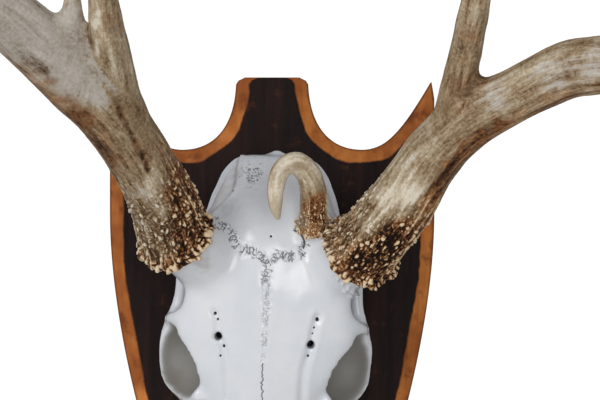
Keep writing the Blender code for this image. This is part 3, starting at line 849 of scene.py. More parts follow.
class BranchPlaces:
    """For each point of an antler: its branch, how far along that it lies, and its side places."""

    def __init__(self, points, paths):
        count = len(points)
        best = np.full(count, np.inf)
        second = np.full(count, np.inf)
        self.along = np.zeros(count)
        self.share = np.zeros(count)
        self.sides = np.zeros((count, 2))
        self.branch = np.zeros(count)
        root = np.array(next(iter(paths.values()))[0]["point"])
        for number, (branch, frames) in enumerate(paths.items()):
            tree = kdtree.KDTree(len(frames))
            for index, spot in enumerate(frames):
                tree.insert(spot["point"], index)
            tree.balance()
            nearest = np.array([tree.find(point)[1] for point in points])
            table = {key: np.array([spot[key] for spot in frames])
                     for key in ("point", "ahead", "sideways", "facing", "across", "gone")}
            offset = points - table["point"][nearest]
            onward = (offset * table["ahead"][nearest]).sum(1)
            side = (offset * table["sideways"][nearest]).sum(1)
            deep = (offset * table["facing"][nearest]).sum(1)
            gap = np.abs(np.hypot(side, deep) - table["across"][nearest]) + (tine_margin if number else 0.0)
            start = 0.0 if number == 0 else np.linalg.norm(table["point"][0] - root)
            wins = gap < best
            second = np.where(wins, best, np.minimum(second, gap))
            best[wins] = gap[wins]
            gone = table["gone"][nearest] + onward
            self.along[wins] = (gone + start)[wins] / mm
            self.share[wins] = 0.0 if branch == "web" else (gone / table["gone"][-1])[wins]
            self.sides[wins] = np.stack([side, deep], axis=1)[wins] / mm
            self.branch[wins] = number
        self.steady = rise(second - best, 0.0, 3.0 * mm)

    def grain(self, squeeze):
        """Places for noise in millimetres, squeezed lengthwise."""
        return np.stack([self.sides[:, 0], self.sides[:, 1], self.along / squeeze], axis=1)


def beads_at(places, size):
    """Crowded beads of one size: how high each place stands in its bead, and a random share of that bead."""
    warp = np.stack([noise_at(places + shift, 0.9 / size) for shift in (0.0, 31.0, 57.0)], axis=1)
    found = [noise.voronoi(Vector(place)) for place in places / size + 0.5 * warp]
    nearest = np.array([distances[0] for distances, _ in found])
    second = np.array([distances[1] for distances, _ in found])
    middles = np.array([tuple(spots[0]) for _, spots in found])
    chance = np.mod(np.abs(np.sin(middles @ np.array([12.9898, 78.233, 37.719]))) * 43758.5453, 1.0)
    return (1 - rise(nearest, 0.22, 0.62)) * rise(second - nearest, 0.0, 0.25), chance


def standing_proud(thing, rounds):
    """How far each point stands above a softened copy of its surface, in millimetres."""
    points = points_of(thing)
    ends = np.empty(len(thing.data.edges) * 2, dtype=np.int32)
    thing.data.edges.foreach_get("vertices", ends)
    first, second = ends.reshape(-1, 2).T
    count = np.bincount(ends, minlength=len(points))
    soft = points.copy()
    for _ in range(rounds):
        for axis in range(3):
            total = (np.bincount(first, soft[second, axis], len(points))
                     + np.bincount(second, soft[first, axis], len(points)))
            soft[:, axis] = 0.5 * soft[:, axis] + 0.5 * total / count
    return ((points - soft) * normals_of(thing)).sum(1) / mm

# %% [markdown]
# ## The relief of an antler
# Near the burr the surface is crowded with beads, and here and there a thin ridge runs on between them. The
# burr's rim swells into petals.
# Further out only shallow ribs are left, and the tips are worn nearly smooth. Sap and soil coloured each
# side differently, so every antler has a few patches: a place from its burr, a reach, and how much browner,
# paler or cooler it is there. Strokes do the same along a line, and some of them cut a groove. Pale patches
# are rubbed smooth as well, so a patch changes the shape and not just the colour. How far a point stands
# proud of the softened surface is kept for the finish, which colours worn peaks pale and valleys dark as
# painted shade.

# %% Relief of the antlers
bead_squeeze = 1.7
large_bead = 2.2
small_bead = 1.25
softening_rounds = 24
stroke_steps = 12


def patch_values(places, patches):
    """Brown, pale and cool shares at each place, from patches in mm: right, front, up, reach, the three."""
    values = np.zeros((3, len(places)))
    for right, ahead, up, reach, *shares in patches:
        near = bell(np.linalg.norm(places - np.array([right, -ahead, up]), axis=1), reach)
        values += np.array(shares)[:, None] * near
    return values


def lay_strokes(from_burr, strokes, brown, pale):
    """Adds the brown and pale of each stroke along its line, and returns how deep the strokes cut."""
    groove = np.zeros(len(from_burr))
    for width, depth, brown_share, pale_share, line in strokes:
        path = np.array(smooth_through(line, stroke_steps)) * np.array([1, -1, 1])
        near = bell(near_line(from_burr, path, width * 3), width) * (0.7 + 0.8 * noise_at(from_burr, 0.25))
        groove = np.maximum(groove, depth * near)
        brown += brown_share * near
        pale += pale_share * near
    return groove


def burr_petals(from_burr, lean, radius, pearl):
    """The band round the burr's rim, and how high each place stands in the petals that crowd it."""
    up_lean = from_burr @ np.array(lean)
    out = np.linalg.norm(from_burr - up_lean[:, None] * np.array(lean), axis=1)
    rim = bell(up_lean - radius * 0.02, radius * 0.22) * rise(out, radius * 0.76, radius * 0.9)
    downward = (Vector((0, 0, -1)) - lean * -lean.z).normalized()
    turn = np.arctan2(from_burr @ np.array(lean.cross(downward)), from_burr @ np.array(downward))
    round_rim = np.stack([turn * radius, 0.7 * up_lean, 0.3 * out], axis=1)
    petals, petal_share = beads_at(round_rim, pearl * 0.85)
    return rim, petals * (0.5 + 0.8 * petal_share)


def dress_antler(antler, paths, root, lean, collar, seed, rough, pearl_zone, dark_side, patches, strokes,
                 burr_pale=0.0, tone=0.40):
    """Adds beads, ridges and ribs to an antler and keeps its relief, stain, coolness and grain."""
    points = points_of(antler)
    lie = BranchPlaces(points, paths)
    normals = normals_of(antler)
    seeded = np.array([seed * 3.1, seed * 1.7, seed * 2.3])
    from_burr = (points - root) / mm
    radius, pearl = collar[0] / mm, collar[1] / mm
    brown, pale, cool = patch_values(from_burr, patches)
    cool *= lie.branch != 1
    near_burr = 1 - rise(lie.along, pearl_zone * 0.35, pearl_zone)
    worn = rise(lie.share, 0.7, 1.0)
    dark = rise(normals @ np.array(Vector(dark_side).normalized()), -0.15, 0.75)
    dark *= 1 - rise(lie.along, pearl_zone * 0.45, pearl_zone * 1.05)
    under = rise(-normals[:, 2], 0.45, 0.95) * rise(lie.along, pearl_zone * 0.5, pearl_zone)
    groove = lay_strokes(from_burr, strokes, brown, pale)
    rim, petals = burr_petals(from_burr, lean, radius, pearl)

    large, large_share = beads_at(lie.grain(bead_squeeze) + seeded, large_bead * rough)
    small, small_share = beads_at(lie.grain(bead_squeeze) - seeded, small_bead * rough)
    beads = large * (0.3 + 1.0 * rise(large_share, 0.45, 0.95)) + 0.7 * small * small_share
    ridges = (bell(noise_at(lie.grain(18) + seeded, 0.11 / rough), 0.045)
              * rise(noise_at(lie.grain(3) + seeded, 0.06 / rough), -0.05, 0.25))
    ribs = noise_at(lie.grain(13) + seeded, 0.26 / rough) * lie.steady
    fine_ribs = noise_at(lie.grain(8) + seeded, 0.7 / rough) * lie.steady
    lumps = noise_at(points + seeded, 1 / (16 * mm))
    rubbed = 1 - 0.75 * np.clip(pale, 0, 1)
    bite = (1 - 0.85 * worn) * rubbed
    on_beam = np.where(lie.branch == 0, 1.0, 0.35)
    crowd = near_burr * (0.75 + 0.25 * dark) * on_beam * rubbed * (1 - 0.5 * rim)
    heights = rough * (1.0 * beads * crowd + 0.9 * ridges * near_burr * rubbed + 0.3 * ribs * bite
                       + 0.12 * fine_ribs * bite) + 0.5 * lumps * (1 - worn) * min(rough, 1.0) - 1.1 * groove
    heights += 0.33 * pearl * (petals - 0.4) * rim
    raise_points(antler, heights * mm)
    proud = standing_proud(antler, softening_rounds)
    # relief: worn peaks pale, and sunken valleys dark as painted shade, from how far each point stands proud
    relief = (tone + (0.15 + 0.3 * near_burr) * proud / rough + 0.6 * (beads - 0.3) * crowd
              + 0.45 * ridges * near_burr + 0.12 * ribs + 0.12 * fine_ribs
              + (0.1 + 0.7 * (petals - 0.35)) * rim - 0.16 * groove)
    stain = (0.08 + 0.62 * np.exp(-lie.along / (pearl_zone * 0.34)) + 0.58 * dark + 0.4 * under + 0.3 * groove
             - burr_pale * rim + 0.25 * noise_at(points + seeded, 1 / (7 * mm)))
    for name, values in (("relief", np.clip(relief + 0.33 * pale, 0, 1)),
                         ("stain", np.clip(stain * (1 - 0.8 * worn) + brown - 0.6 * pale, 0, 1)),
                         ("cool", np.clip(cool, 0, 1)), ("worn", worn), ("steady", lie.steady),
                         ("grain_place", lie.grain(9) + seeded)):
        keep_attribute(antler, name, values)
    antler.data.shade_smooth()
    show_count(antler)


beam_length = 560 * mm
antler_unit = beam_length / 560
third_length = 62 * mm
third_unit = third_length / 62
antler_grain = 1.55 * mm
third_grain = 0.55 * mm
fine_reaches = (98 * mm, 49 * mm)
third_fine_reaches = (30 * mm,)
pearls_round_burr = 28
pearls_round_third_burr = 15
pearl_zone = 92
third_pearl_zone = 34
collar = (burr_radius, burr_pearl, burr_lift)
third_collar = (third_burr_radius, third_burr_pearl, third_burr_lift)

left_patches = [
    (-66, 115, 104, 24, -0.3, 0.25, 0.9), (-44, 99, 90, 19, -0.3, 0.25, 0.9),
    (-27, 84, 72, 10, -0.2, 0.15, 0.7),
    (-92, 122, 104, 26, -0.2, 0.15, 0.7), (-36, 78, 58, 8, 0.15, -0.1, 0.0), (-8, 50, 27, 6, -0.6, 0.9, 0.1),
    (-11, 47, 22, 7, -0.3, 0.35, 0.2), (-17, 45, 22, 10, -0.2, 0.05, 0.2), (-16, 23, 5, 11, -0.2, 0.0, 0.2),
    (-4, 36, 12, 5, -0.4, 0.5, 0.1), (-25, 110, 106, 16, 0.12, -0.1, 0.0), (-38, 90, 74, 9, -0.3, 0.4, 0.8)]
left_strokes = [
    (0.9, 0.5, 0.2, 0.0, [(-28, 94, 84), (-25, 84, 70), (-21, 77, 61)]),
    (1.7, 1.0, 0.1, 0.0, [(-21, 77, 61), (-18, 73, 54), (-14.5, 66, 46), (-11, 59, 38), (-9, 54, 32)]),
    (1.4, 0.0, -0.3, 1.9, [(-29.5, 109, 97), (-26.5, 116, 103)]),
    (1.6, 0.0, -0.3, 1.9, [(-30.5, 95, 85), (-27.5, 102, 92)]),
    (6.0, 0.0, 0.12, -0.25, [(-66, 108, 88), (-56, 97, 77), (-49, 92, 72), (-43, 86, 66), (-37, 79, 57),
                            (-32, 71, 49), (-29, 61, 39)])]
right_patches = [
    (15, 39, 45, 11, -0.3, 0.4, 0.1), (22, 46, 31, 10, -0.6, 0.95, 0.1), (10, 38, 26, 9, -0.6, 1.0, 0.1),
    (3, 31, 14, 7, -0.4, 0.45, 0.0), (29, 56, 52, 10, -0.2, 0.4, 0.2), (8, 26, -1, 8, 0.7, -0.2, 0.0),
    (-1, 17, -8, 7, 0.6, -0.2, 0.0), (33, 45, 26, 9, 0.5, -0.1, 0.0), (-12, 14, 5, 6, 0.15, 0.3, 0.0),
    (89, 98, 87, 12, -0.2, 0.1, 0.4), (60, 82, 74, 9, -0.2, 0.05, 0.4), (104, 106, 90, 12, -0.1, 0.1, 0.4),
    (42, 73, 80, 11, 0.2, -0.15, 0.0), (45, 86, 102, 11, 0.08, -0.1, 0.0), (48, 95, 125, 12, 0.1, 0.0, 0.0),
    (-9, 8, -12, 8, 0.35, 0.5, 0.0), (4, 20, -7, 9, 0.3, -0.45, 0.0), (14, 32, 6, 9, 0.3, -0.45, 0.0)]
right_strokes = [
    (0.9, 0.8, 0.3, 0.0, [(48.5, 75, 79), (44.5, 70, 68), (39.5, 64, 60), (36.5, 58, 51)]),
    (5.5, 0.0, 0.5, -0.15, [(63, 77, 61), (50, 66, 52), (43, 59, 45), (39, 53, 38), (33, 45, 28)]),
    (3.5, 0.0, 0.22, 0.0, [(63, 77, 60), (80, 88, 69), (98, 100, 77), (120, 108, 78)]),
    (3.0, 0.0, 0.4, -0.1, [(60, 73, 87), (75, 84, 95), (89, 92, 99), (104, 98, 101)])]
hook_patches = [
    (-12, 28, 31, 8, -0.3, 0.3, 0.0), (-19, 28, 16, 9, -0.5, 0.8, 0.0), (3, 22, 27, 7, -0.4, 0.35, 0.0),
    (0, 6, -5, 7, 0.5, 0.55, 0.0), (0, 14, 8, 6, 0.45, -0.3, 0.0), (2, 18, 13, 6, 0.25, -0.1, 0.0),
    (-14, 30, 28, 8, -0.3, 0.4, 0.0)]


def grow_and_dress(name, burr, lean, branches, unit, sizes, grain, count, seed, fine_reaches, **relief):
    antler, paths = grow(name, burr, lean, branches, unit, sizes, grain, count, seed)
    root = np.array(on_skull(*burr))
    for reach in fine_reaches:
        refine(antler, lambda points: np.linalg.norm(points - root, axis=1) < reach)
    dress_antler(antler, paths, root, lean, sizes, seed, **relief)
    return antler


left_antler = grow_and_dress(
    "left_antler", left_burr, left_lean, left_branches, antler_unit, collar, antler_grain,
    pearls_round_burr, 4, fine_reaches, rough=1.0, pearl_zone=pearl_zone, dark_side=(0.9, -0.25, 0.2),
    patches=left_patches, strokes=left_strokes)
right_antler = grow_and_dress(
    "right_antler", right_burr, right_lean, right_branches, antler_unit, collar, antler_grain,
    pearls_round_burr, 9, fine_reaches, rough=1.0, pearl_zone=pearl_zone, dark_side=(0.7, -0.1, -0.7),
    patches=right_patches, strokes=right_strokes)
hook_antler = grow_and_dress(
    "hook_antler", third_burr, third_lean, third_branches, third_unit, third_collar, third_grain,
    pearls_round_third_burr, 15, third_fine_reaches, rough=0.75, pearl_zone=third_pearl_zone,
    dark_side=(0.7, -0.5, -0.1), patches=hook_patches, strokes=[], burr_pale=0.3, tone=0.56)

# %% [markdown]
# ## The board
# The shield was sawn by hand: a tab between two scoops, a horn at each shoulder and sides that run down to a
# point. Its front edge was taken off with a knife after staining, which left a rounded, slightly uneven
# bevel of bare wood. The outline is drawn from a few real sizes with Bezier curves, and rings of points step
# across the bevel. Each ring keeps how far across it lies, so that the stain can end at the bevel's edge.

# %% Board outline
board_above_middle = board_high.z
board_below_middle = -board_low.z
half_board = (board_high.x - board_low.x) / 2
bevel_width = 8.5 * mm
bevel_depth = 4.5 * mm
bevel_waver = 0.4 * mm
bevel_belly = 0.7 * mm
top_arris = 0.4 * mm
edge_round = 0.7 * mm
bevel_steps = 7
tip_mitre = 1.41
tab_half_width = 20.5 * mm
tab_corner_drop = 4 * mm
scoop_bottom_in = 51 * mm
scoop_bottom_drop = 41 * mm
horn_tip_in = 1.6 * mm
horn_tip_drop = 2.5 * mm
side_straight_drop = 77 * mm


def bezier(start, leave, arrive, end, steps):
    points = []
    for step in range(steps):
        t = step / steps
        u = 1 - t
        points.append(tuple(
            a * u ** 3 + 3 * b * u * u * t + 3 * c * u * t * t + d * t ** 3
            for a, b, c, d in zip(start, leave, arrive, end)))
    return points


def board_outline():
    """The right half of the outline from the middle of the tab to the bottom tip, as (x, z) points."""
    top = board_above_middle
    bottom = -board_below_middle
    edge = half_board
    corner = (tab_half_width, top - tab_corner_drop)
    scoop = (scoop_bottom_in, top - scoop_bottom_drop)
    horn = (edge - horn_tip_in, top - horn_tip_drop)
    shoulder = (edge, top - side_straight_drop)
    fall = corner[1] - scoop[1]
    rise_to_horn = horn[1] - scoop[1]
    reach = scoop[0] - corner[0]
    run = horn[0] - scoop[0]
    drop = shoulder[1] - bottom
    half = [(0.0, top), (tab_half_width * 0.75, top), (tab_half_width * 0.93, top - tab_corner_drop * 0.45)]
    half += bezier(corner, (corner[0] + reach * 0.03, corner[1] - fall * 0.62),
                   (corner[0] + reach * 0.38, scoop[1]), scoop, 30)
    half += bezier(scoop, (scoop[0] + run * 0.38, scoop[1]),
                   (horn[0] - run * 0.37, horn[1] - rise_to_horn * 0.64), horn, 30)
    half += [horn, (edge, horn[1] - (horn[1] - shoulder[1]) * 0.13)]
    half += bezier(shoulder, (edge, shoulder[1] - drop * 0.33), (edge * 0.49, bottom + drop * 0.17),
                   (0.0, bottom), 60)
    half.append((0.0, bottom))
    return half


def bevel_inner(half):
    """The inner edge of the bevel: an inset that runs off at the tab's top and mitres in the horn."""
    top = board_above_middle
    inner = []
    for index, (x, z) in enumerate(half):
        before = Vector(half[max(index - 1, 0)])
        after = Vector(half[min(index + 1, len(half) - 1)])
        along = (after - before).normalized()
        inward = Vector((along.y, -along.x))
        width = bevel_width + bevel_waver * math.sin(index * 0.5)
        if x == 0.0 and z > 0:
            inner.append(Vector((0, top - top_arris)))
        elif z > top - tab_corner_drop * 1.5:
            inner.append(Vector((x - width, min(z, top - top_arris))))
        elif x == 0.0:
            inner.append(Vector((0, z + bevel_width * tip_mitre)))
        else:
            inner.append(Vector((x, z)) + inward * width)
    limit = half_board - bevel_width
    mitre_at = limit * 0.985
    horn_index = max(range(len(half)), key=lambda i: half[i][1] if half[i][0] > scoop_bottom_in else -1)
    mitre_index = next(i for i in range(horn_index) if inner[i].x > mitre_at)
    mitre = Vector((mitre_at, inner[mitre_index].y))
    for index in range(mitre_index, len(half)):
        if inner[index].y > mitre.y:
            inner[index] = mitre.copy()
        elif index > horn_index and inner[index].x > limit:
            inner[index].x = limit
    for index in range(mitre_index, horn_index + 1):
        inner[index] = mitre.copy()
    return inner

# %% Board mesh
def mirrored_loop(half):
    other_side = [Vector((-x, z)) for x, z in reversed(half[1:-1])]
    return [Vector(point) for point in half] + other_side


def build_board():
    outer = mirrored_loop(board_outline())
    inner = mirrored_loop([tuple(point) for point in bevel_inner(board_outline())])
    shape = bmesh.new()
    across = shape.verts.layers.float.new("across")
    rings = [(1.25, 0.0, edge_round), (1.2, -edge_round, 0.0), (1.1, bevel_depth - board_thickness, 0.0)]
    side_rings = len(rings)
    for step in range(1, bevel_steps + 1):
        share = 1 - step / bevel_steps
        belly = bevel_belly * math.sin(math.pi * share)
        rings.append((share, -board_thickness + bevel_depth * share - belly, 0.0))
    loops = []
    for share, y, inset in rings:
        loop = []
        for edge, deep in zip(outer, inner):
            spot = deep.lerp(edge, min(share, 1.0)) - edge.normalized() * inset
            vert = shape.verts.new((spot.x, y, spot.y))
            vert[across] = share
            loop.append(vert)
        loops.append(loop)
    count = len(outer)
    for lower, upper in zip(loops, loops[1:]):
        for index in range(count):
            after = (index + 1) % count
            shape.faces.new((lower[index], lower[after], upper[after], upper[index]))
    on_bevel = [vert for loop in loops[side_rings:] for vert in loop]
    bmesh.ops.remove_doubles(shape, verts=on_bevel, dist=0.02 * mm)
    bmesh.ops.dissolve_degenerate(shape, edges=shape.edges, dist=0.01 * mm)
    close_rim(shape)
    bmesh.ops.triangulate(shape, faces=[face for face in shape.faces if len(face.verts) > 4])
    thing = object_from("shield_board", shape)
    thing.data.shade_smooth()
    show_count(thing)
    return thing


board = build_board()

# %% [markdown]
# ## Writing finishes as sums
# A shader is a graph of nodes, but most of it is arithmetic on values between 0 and 1. A small class wraps a
# node's output so that sums can be written as sums, and each one adds its Math node. Every node is made by
# one method that sets its settings first and then its sockets. The world further down uses it too.

# %% Wires and finishes
colour_first = 6
colour_second = 7
colour_result = 2


def arithmetic(operation, reflected=False):
    """An operator that adds a Math node; reflected is for a number on the left of the wire."""
    def add_node(wire, other):
        first, second = (other, wire) if reflected else (wire, other)
        return wire.graph.node("ShaderNodeMath", {"operation": operation}, {0: first, 1: second})
    return add_node


class Wire:
    """An output of a node. Arithmetic with numbers or other wires adds Math nodes."""

    def __init__(self, graph, socket):
        self.graph = graph
        self.socket = socket

    __add__ = arithmetic("ADD")
    __radd__ = arithmetic("ADD", reflected=True)
    __sub__ = arithmetic("SUBTRACT")
    __rsub__ = arithmetic("SUBTRACT", reflected=True)
    __mul__ = arithmetic("MULTIPLY")
    __rmul__ = arithmetic("MULTIPLY", reflected=True)


class Graph:
    """A tree of shader nodes."""

    def __init__(self, tree):
        self.tree = tree

    def feed(self, socket, value):
        if isinstance(value, Wire):
            self.tree.links.new(value.socket, socket)
        elif socket.type == "RGBA":
            socket.default_value = (*value, 1.0)
        else:
            socket.default_value = value

    def node(self, kind, settings=None, sockets=None, output=0):
        made = self.tree.nodes.new(kind)
        for name, value in (settings or {}).items():
            if name == "stops":
                self.set_stops(made.color_ramp, value)
            else:
                setattr(made, name, value)
        for key, value in (sockets or {}).items():
            self.feed(made.inputs[key], value)
        return Wire(self, made.outputs[output])

    def set_stops(self, ramp, stops):
        while len(ramp.elements) < len(stops):
            ramp.elements.new(1.0)
        for element, (place, colour) in zip(ramp.elements, stops):
            element.position = place
            element.color = (*colour, 1.0)


class Finish(Graph):
    """A material on a Principled shader, built from wires."""

    def __init__(self, name, constants):
        self.material = bpy.data.materials.new(name)
        self.material.use_nodes = True
        super().__init__(self.material.node_tree)
        self.shader = self.tree.nodes["Principled BSDF"]
        for socket, value in constants.items():
            self.give(socket, value)

    def give(self, socket, value):
        self.feed(self.shader.inputs[socket], value)

    def kept(self, name, output="Fac"):
        """An attribute that was kept on the mesh."""
        return self.node("ShaderNodeAttribute", {"attribute_name": name}, output=output)

    def place(self):
        return self.node("ShaderNodeTexCoord", output="Object")

    def noise(self, place, scale, detail=3.0, roughness=0.55):
        return self.node("ShaderNodeTexNoise", {}, {"Vector": place, "Scale": scale, "Detail": detail,
                                                    "Roughness": roughness})

    def step(self, value, start, end):
        """0 below start, 1 above end, smooth between."""
        return self.node("ShaderNodeMapRange", {"interpolation_type": "SMOOTHSTEP"},
                         {"Value": value, "From Min": start, "From Max": end})

    def ramp(self, value, *stops):
        return self.node("ShaderNodeValToRGB", {"stops": stops}, {"Fac": value})

    def mix(self, share, first, second):
        """Goes from the first colour to the second by a share."""
        return self.node("ShaderNodeMix", {"data_type": "RGBA"},
                         {0: share, colour_first: first, colour_second: second}, output=colour_result)

    def bump(self, height, distance, strength):
        self.give("Normal", self.node("ShaderNodeBump", {}, {"Height": height, "Distance": distance,
                                                             "Strength": strength}))

# %% [markdown]
# ## Coated bone
# The skull looks like porcelain: a white ground under a clear gloss. Its highlights come from a coat with low
# roughness. Its colour darkens in places: grey in the sutures and cracks, from their seam colour and painted
# shade in their grooves; grey painted shade in the sockets; brown bloom and painted shade on the crest sides
# and under the burrs; and near black painted shade down the vessel holes and the open crack.

# %% Coated bone finish
def coated_bone():
    bone = Finish("bleached_bone", {"Coat Roughness": 0.13, "Specular IOR Level": 0.4})
    place = bone.place()
    cloud = bone.noise(place, 45, 4)
    fine = bone.noise(place, 420, 3)
    line = bone.kept("line_mark")
    hole_shade = bone.kept("hole_mark")
    socket = bone.kept("socket")
    bloom = bone.kept("bloom")
    white = bone.mix(bone.step(cloud, 0.35, 0.7), (0.78, 0.815, 0.87), (0.84, 0.862, 0.90))
    # Brown bloom on the bone, and painted shade on the crest sides and under the burrs
    white = bone.mix(bone.step(bloom + 0.5 * (fine - 0.5), 0.1, 1.1) * 0.9, white, (0.33, 0.27, 0.225))
    # socket: grey painted shade in the eye socket bowls
    white = bone.mix(socket * (0.74 + 0.3 * cloud), white, (0.19, 0.175, 0.148))
    # line: seam colour of the sutures, and painted shade in their grooves and in the cracks
    white = bone.mix(bone.step(line, 0.15, 0.9) * 0.85, white, (0.10, 0.093, 0.088))
    # Near black painted shade down the vessel holes and the open crack
    white = bone.mix(hole_shade, white, (0.006, 0.005, 0.004))
    bone.give("Base Color", white)
    bone.give("Roughness", 0.26 + 0.25 * bloom + 0.25 * socket + 0.3 * line)
    bone.give("Coat Weight", bone.step(socket + bloom + hole_shade + line, 1.0, 0.0) * 0.45)
    bone.bump(bone.noise(place, 130, 4) + 0.4 * fine, 0.25 * mm, 0.35)
    return bone.material


skull.data.materials.clear()
skull.data.materials.append(coated_bone())

# %% [markdown]
# ## Antler
# An antler is bone that was stained by sap and soil and then polished by rubbing. Its peaks wear pale, and
# its valleys are dark brown, partly from that stain and partly as painted shade, so the kept relief drives a
# ramp
# of colours. There are three ramps: plain, silver where the surface is cool, and brown where it is stained.
# Lengthwise streaks shift all three, and worn tips go to ivory.

# %% Antler finish
def antler_horn(name, ivory, contrast):
    horn = Finish(name, {"Specular IOR Level": 0.12})
    relief = horn.kept("relief")
    stain = horn.kept("stain")
    worn = horn.kept("worn")
    grain = horn.kept("grain_place", "Vector")
    place = horn.place()
    steady = horn.kept("steady")
    streaks = (horn.noise(grain, 0.5, 5, 0.65) - 0.5) * steady * contrast
    threads = (horn.noise(grain, 1.9, 3, 0.6) - 0.5) * steady * contrast
    specks = horn.noise(place, 620, 3, 0.65) - 0.5
    clouds = horn.noise(place, 75, 4, 0.6) - 0.5
    mottle = (horn.noise(grain, 0.22, 4, 0.6) - 0.5) * steady
    # The tone follows the kept relief, which also carries painted shade in the valleys
    tone = relief + 0.55 * streaks + 0.4 * threads + 0.6 * specks + 0.55 * clouds + 0.55 * mottle
    plain = horn.ramp(tone, (0.10, (0.055, 0.027, 0.012)), (0.28, (0.180, 0.105, 0.053)),
                      (0.44, (0.330, 0.236, 0.140)), (0.64, (0.53, 0.430, 0.295)), (0.88, (0.82, 0.74, 0.60)))
    silver = horn.ramp(tone, (0.10, (0.10, 0.064, 0.040)), (0.26, (0.28, 0.220, 0.165)),
                       (0.44, (0.47, 0.415, 0.355)), (0.66, (0.60, 0.555, 0.500)), (0.88, (0.74, 0.70, 0.64)))
    brown = horn.ramp(tone, (0.12, (0.010, 0.0048, 0.0027)), (0.28, (0.075, 0.027, 0.010)),
                      (0.44, (0.250, 0.104, 0.039)), (0.62, (0.48, 0.270, 0.125)), (0.82, (0.82, 0.66, 0.44)))
    stained = horn.step(stain + 0.6 * clouds + 0.3 * streaks + 0.35 * specks, 0.1, 0.8)
    silvered = horn.step(horn.kept("cool") + 1.5 * streaks + 1.6 * clouds, 0.15, 0.75)
    colour = horn.mix(stained, horn.mix(silvered, plain, silver), brown)
    smooth_tip = horn.ramp(streaks + 0.5, (0.3, tuple(0.72 * part for part in ivory)), (0.7, ivory))
    colour = horn.mix(horn.step(worn, 0.25, 0.9) * 0.85, colour, smooth_tip)
    horn.give("Base Color", colour)
    horn.give("Roughness", 0.66 - 0.2 * relief - 0.22 * worn)
    horn.bump(0.5 * threads + 0.6 * specks + 0.3 * streaks, 0.5 * mm, 0.6)
    return horn.material


horn_colour = antler_horn("antler", (0.60, 0.49, 0.35), 1.0)
for antler in (left_antler, right_antler):
    antler.data.materials.append(horn_colour)
hook_antler.data.materials.append(antler_horn("antler_hook", (0.72, 0.62, 0.46), 0.4))

# %% [markdown]
# ## Stained and bare wood
# One board, two looks: the face took a nearly black stain, and the bevel shows the orange wood that lay under
# it. The kept ring value says where the bevel starts, and noise pushes that line about a little, as a knife
# does. Grain runs up the board, so noise is read in places that are squeezed along its height.

# %% Wood finish
def worked_wood():
    wood = Finish("stained_wood", {"Specular IOR Level": 0.16})
    place = wood.place()
    across = wood.kept("across")
    grain = wood.node("ShaderNodeMapping", {}, {"Vector": place, "Scale": (1.0, 1.0, 0.07)})
    fibres = wood.noise(grain, 900, 4, 0.65)
    bands = wood.noise(grain, 160, 4, 0.6)
    clouds = wood.noise(place, 28, 3)
    blotches = wood.noise(place, 85, 3, 0.6)
    bare_share = wood.step(across + 0.34 * (blotches - 0.5) + 0.08 * (fibres - 0.5), 0.03, 0.2)
    stain = wood.mix(wood.step(bands, 0.35, 0.75), (0.009, 0.0042, 0.0036), (0.025, 0.0095, 0.0072))
    stain = wood.mix(wood.step(fibres, 0.5, 0.85) * 0.5, stain, (0.004, 0.002, 0.002))
    orange = wood.mix(wood.step(bands, 0.3, 0.7), (0.46, 0.140, 0.030), (0.66, 0.235, 0.054))
    orange = wood.mix(wood.step(clouds, 0.40, 0.62) * 0.75, orange, (0.27, 0.068, 0.016))
    orange = wood.mix(wood.step(blotches, 0.52, 0.72) * 0.7, orange, (0.15, 0.036, 0.010))
    orange = wood.mix(wood.step(fibres, 0.55, 0.9) * 0.3, orange, (0.17, 0.05, 0.015))
    # Darker towards the outer edge of the bevel and on the side wall: painted shade on the edge that faces
    # aside
    orange = wood.mix(wood.step(across, 0.84, 1.02) * 0.6, orange, (0.13, 0.036, 0.012))
    wood.give("Base Color", wood.mix(bare_share, stain, orange))
    wood.give("Roughness", 0.6 + 0.12 * fibres)
    wood.bump(fibres + 0.5 * bands, 0.25 * mm, 0.4)
    return wood.material


board.data.materials.append(worked_wood())

# %% [markdown]
# ## Joining the frame
# Every piece rides on the imported body and hides the solid it stands for.

# %% Ride and replace
for piece, node, slot in ((board, "backboard", "stained_wood"), (skull, "skull", "bleached_bone"),
                          (left_antler, "antler_left", "antler"), (right_antler, "antler_right", "antler"),
                          (hook_antler, "third_antler", "antler")):
    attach(piece, "root")
    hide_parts(node)
    print(piece.name, "stands for", node)

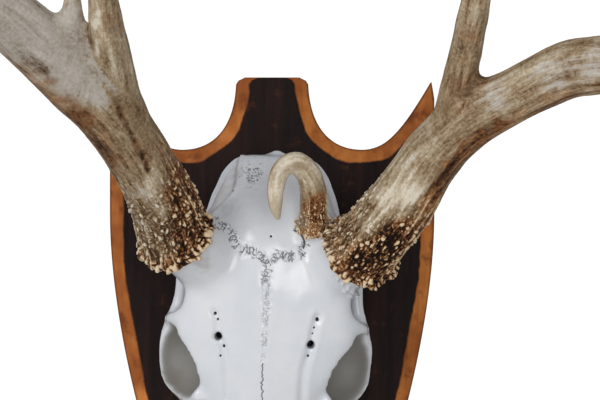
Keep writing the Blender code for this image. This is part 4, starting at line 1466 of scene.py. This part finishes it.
# %% [markdown]
# ## Light and floor
# The photograph has an even, pale daylight: the wall behind is nearly white, and soft windows on the
# viewer's side leave small highlights on the coat. A world that is brightest behind the board gives the
# first, and wide area lights give the second. The floor lies well below and is only a pale stage.

# %% World, lights and floor
def light_from(name, place, aim, width, power):
    data = bpy.data.lights.new(name, "AREA")
    data.shape = "DISK"
    data.size = width
    data.energy = power
    lamp = put_in_scene(name, data)
    lamp.location = place
    lamp.rotation_euler = (Vector(aim) - Vector(place)).to_track_quat("-Z", "Y").to_euler()


def pale_world(below, above, wall):
    """A room that is brighter below than above, with a bright wall straight behind the board."""
    world = bpy.data.worlds.new("pale_room")
    world.use_nodes = True
    graph = Graph(world.node_tree)
    way = graph.node("ShaderNodeTexCoord", output="Generated")
    up = graph.node("ShaderNodeSeparateXYZ", {}, {0: way}, output="Z")
    behind = graph.node("ShaderNodeSeparateXYZ", {}, {0: way}, output="Y")
    room = graph.node("ShaderNodeMapRange", {}, {"Value": up, "From Min": -0.4, "From Max": 0.9,
                                                 "To Min": below, "To Max": above})
    strength = graph.node("ShaderNodeMapRange", {}, {"Value": behind, "From Min": 0.90, "From Max": 0.972,
                                                     "To Min": room, "To Max": wall})
    background = graph.tree.nodes["Background"]
    graph.feed(background.inputs["Strength"], strength)
    graph.feed(background.inputs["Color"], (1.0, 1.0, 1.0))
    bpy.context.scene.world = world


pale_world(below=0.37, above=0.27, wall=1.06)
heart = (0.0, board_face - 80 * mm, 60 * mm)
window_width = 1.1
light_from("window_left", (-1.3, -1.9, 0.9), heart, window_width, 19.5)
light_from("window_front", (0.25, -2.3, 0.35), heart, window_width, 12.5)

floor_radius = 1.3
floor_level = -0.42
floor_data = bpy.data.meshes.new("floor")
floor_shape = bmesh.new()
bmesh.ops.create_circle(floor_shape, cap_ends=True, segments=96, radius=floor_radius,
                        matrix=Matrix.Translation((0, 0, floor_level)))
floor_shape.to_mesh(floor_data)
floor_shape.free()
floor = put_in_scene("floor", floor_data)
pale_floor = Finish("pale_floor", {"Roughness": 0.8, "Base Color": (0.82, 0.81, 0.79)})
floor_data.materials.append(pale_floor.material)
bpy.context.scene.view_settings.view_transform = "Standard"
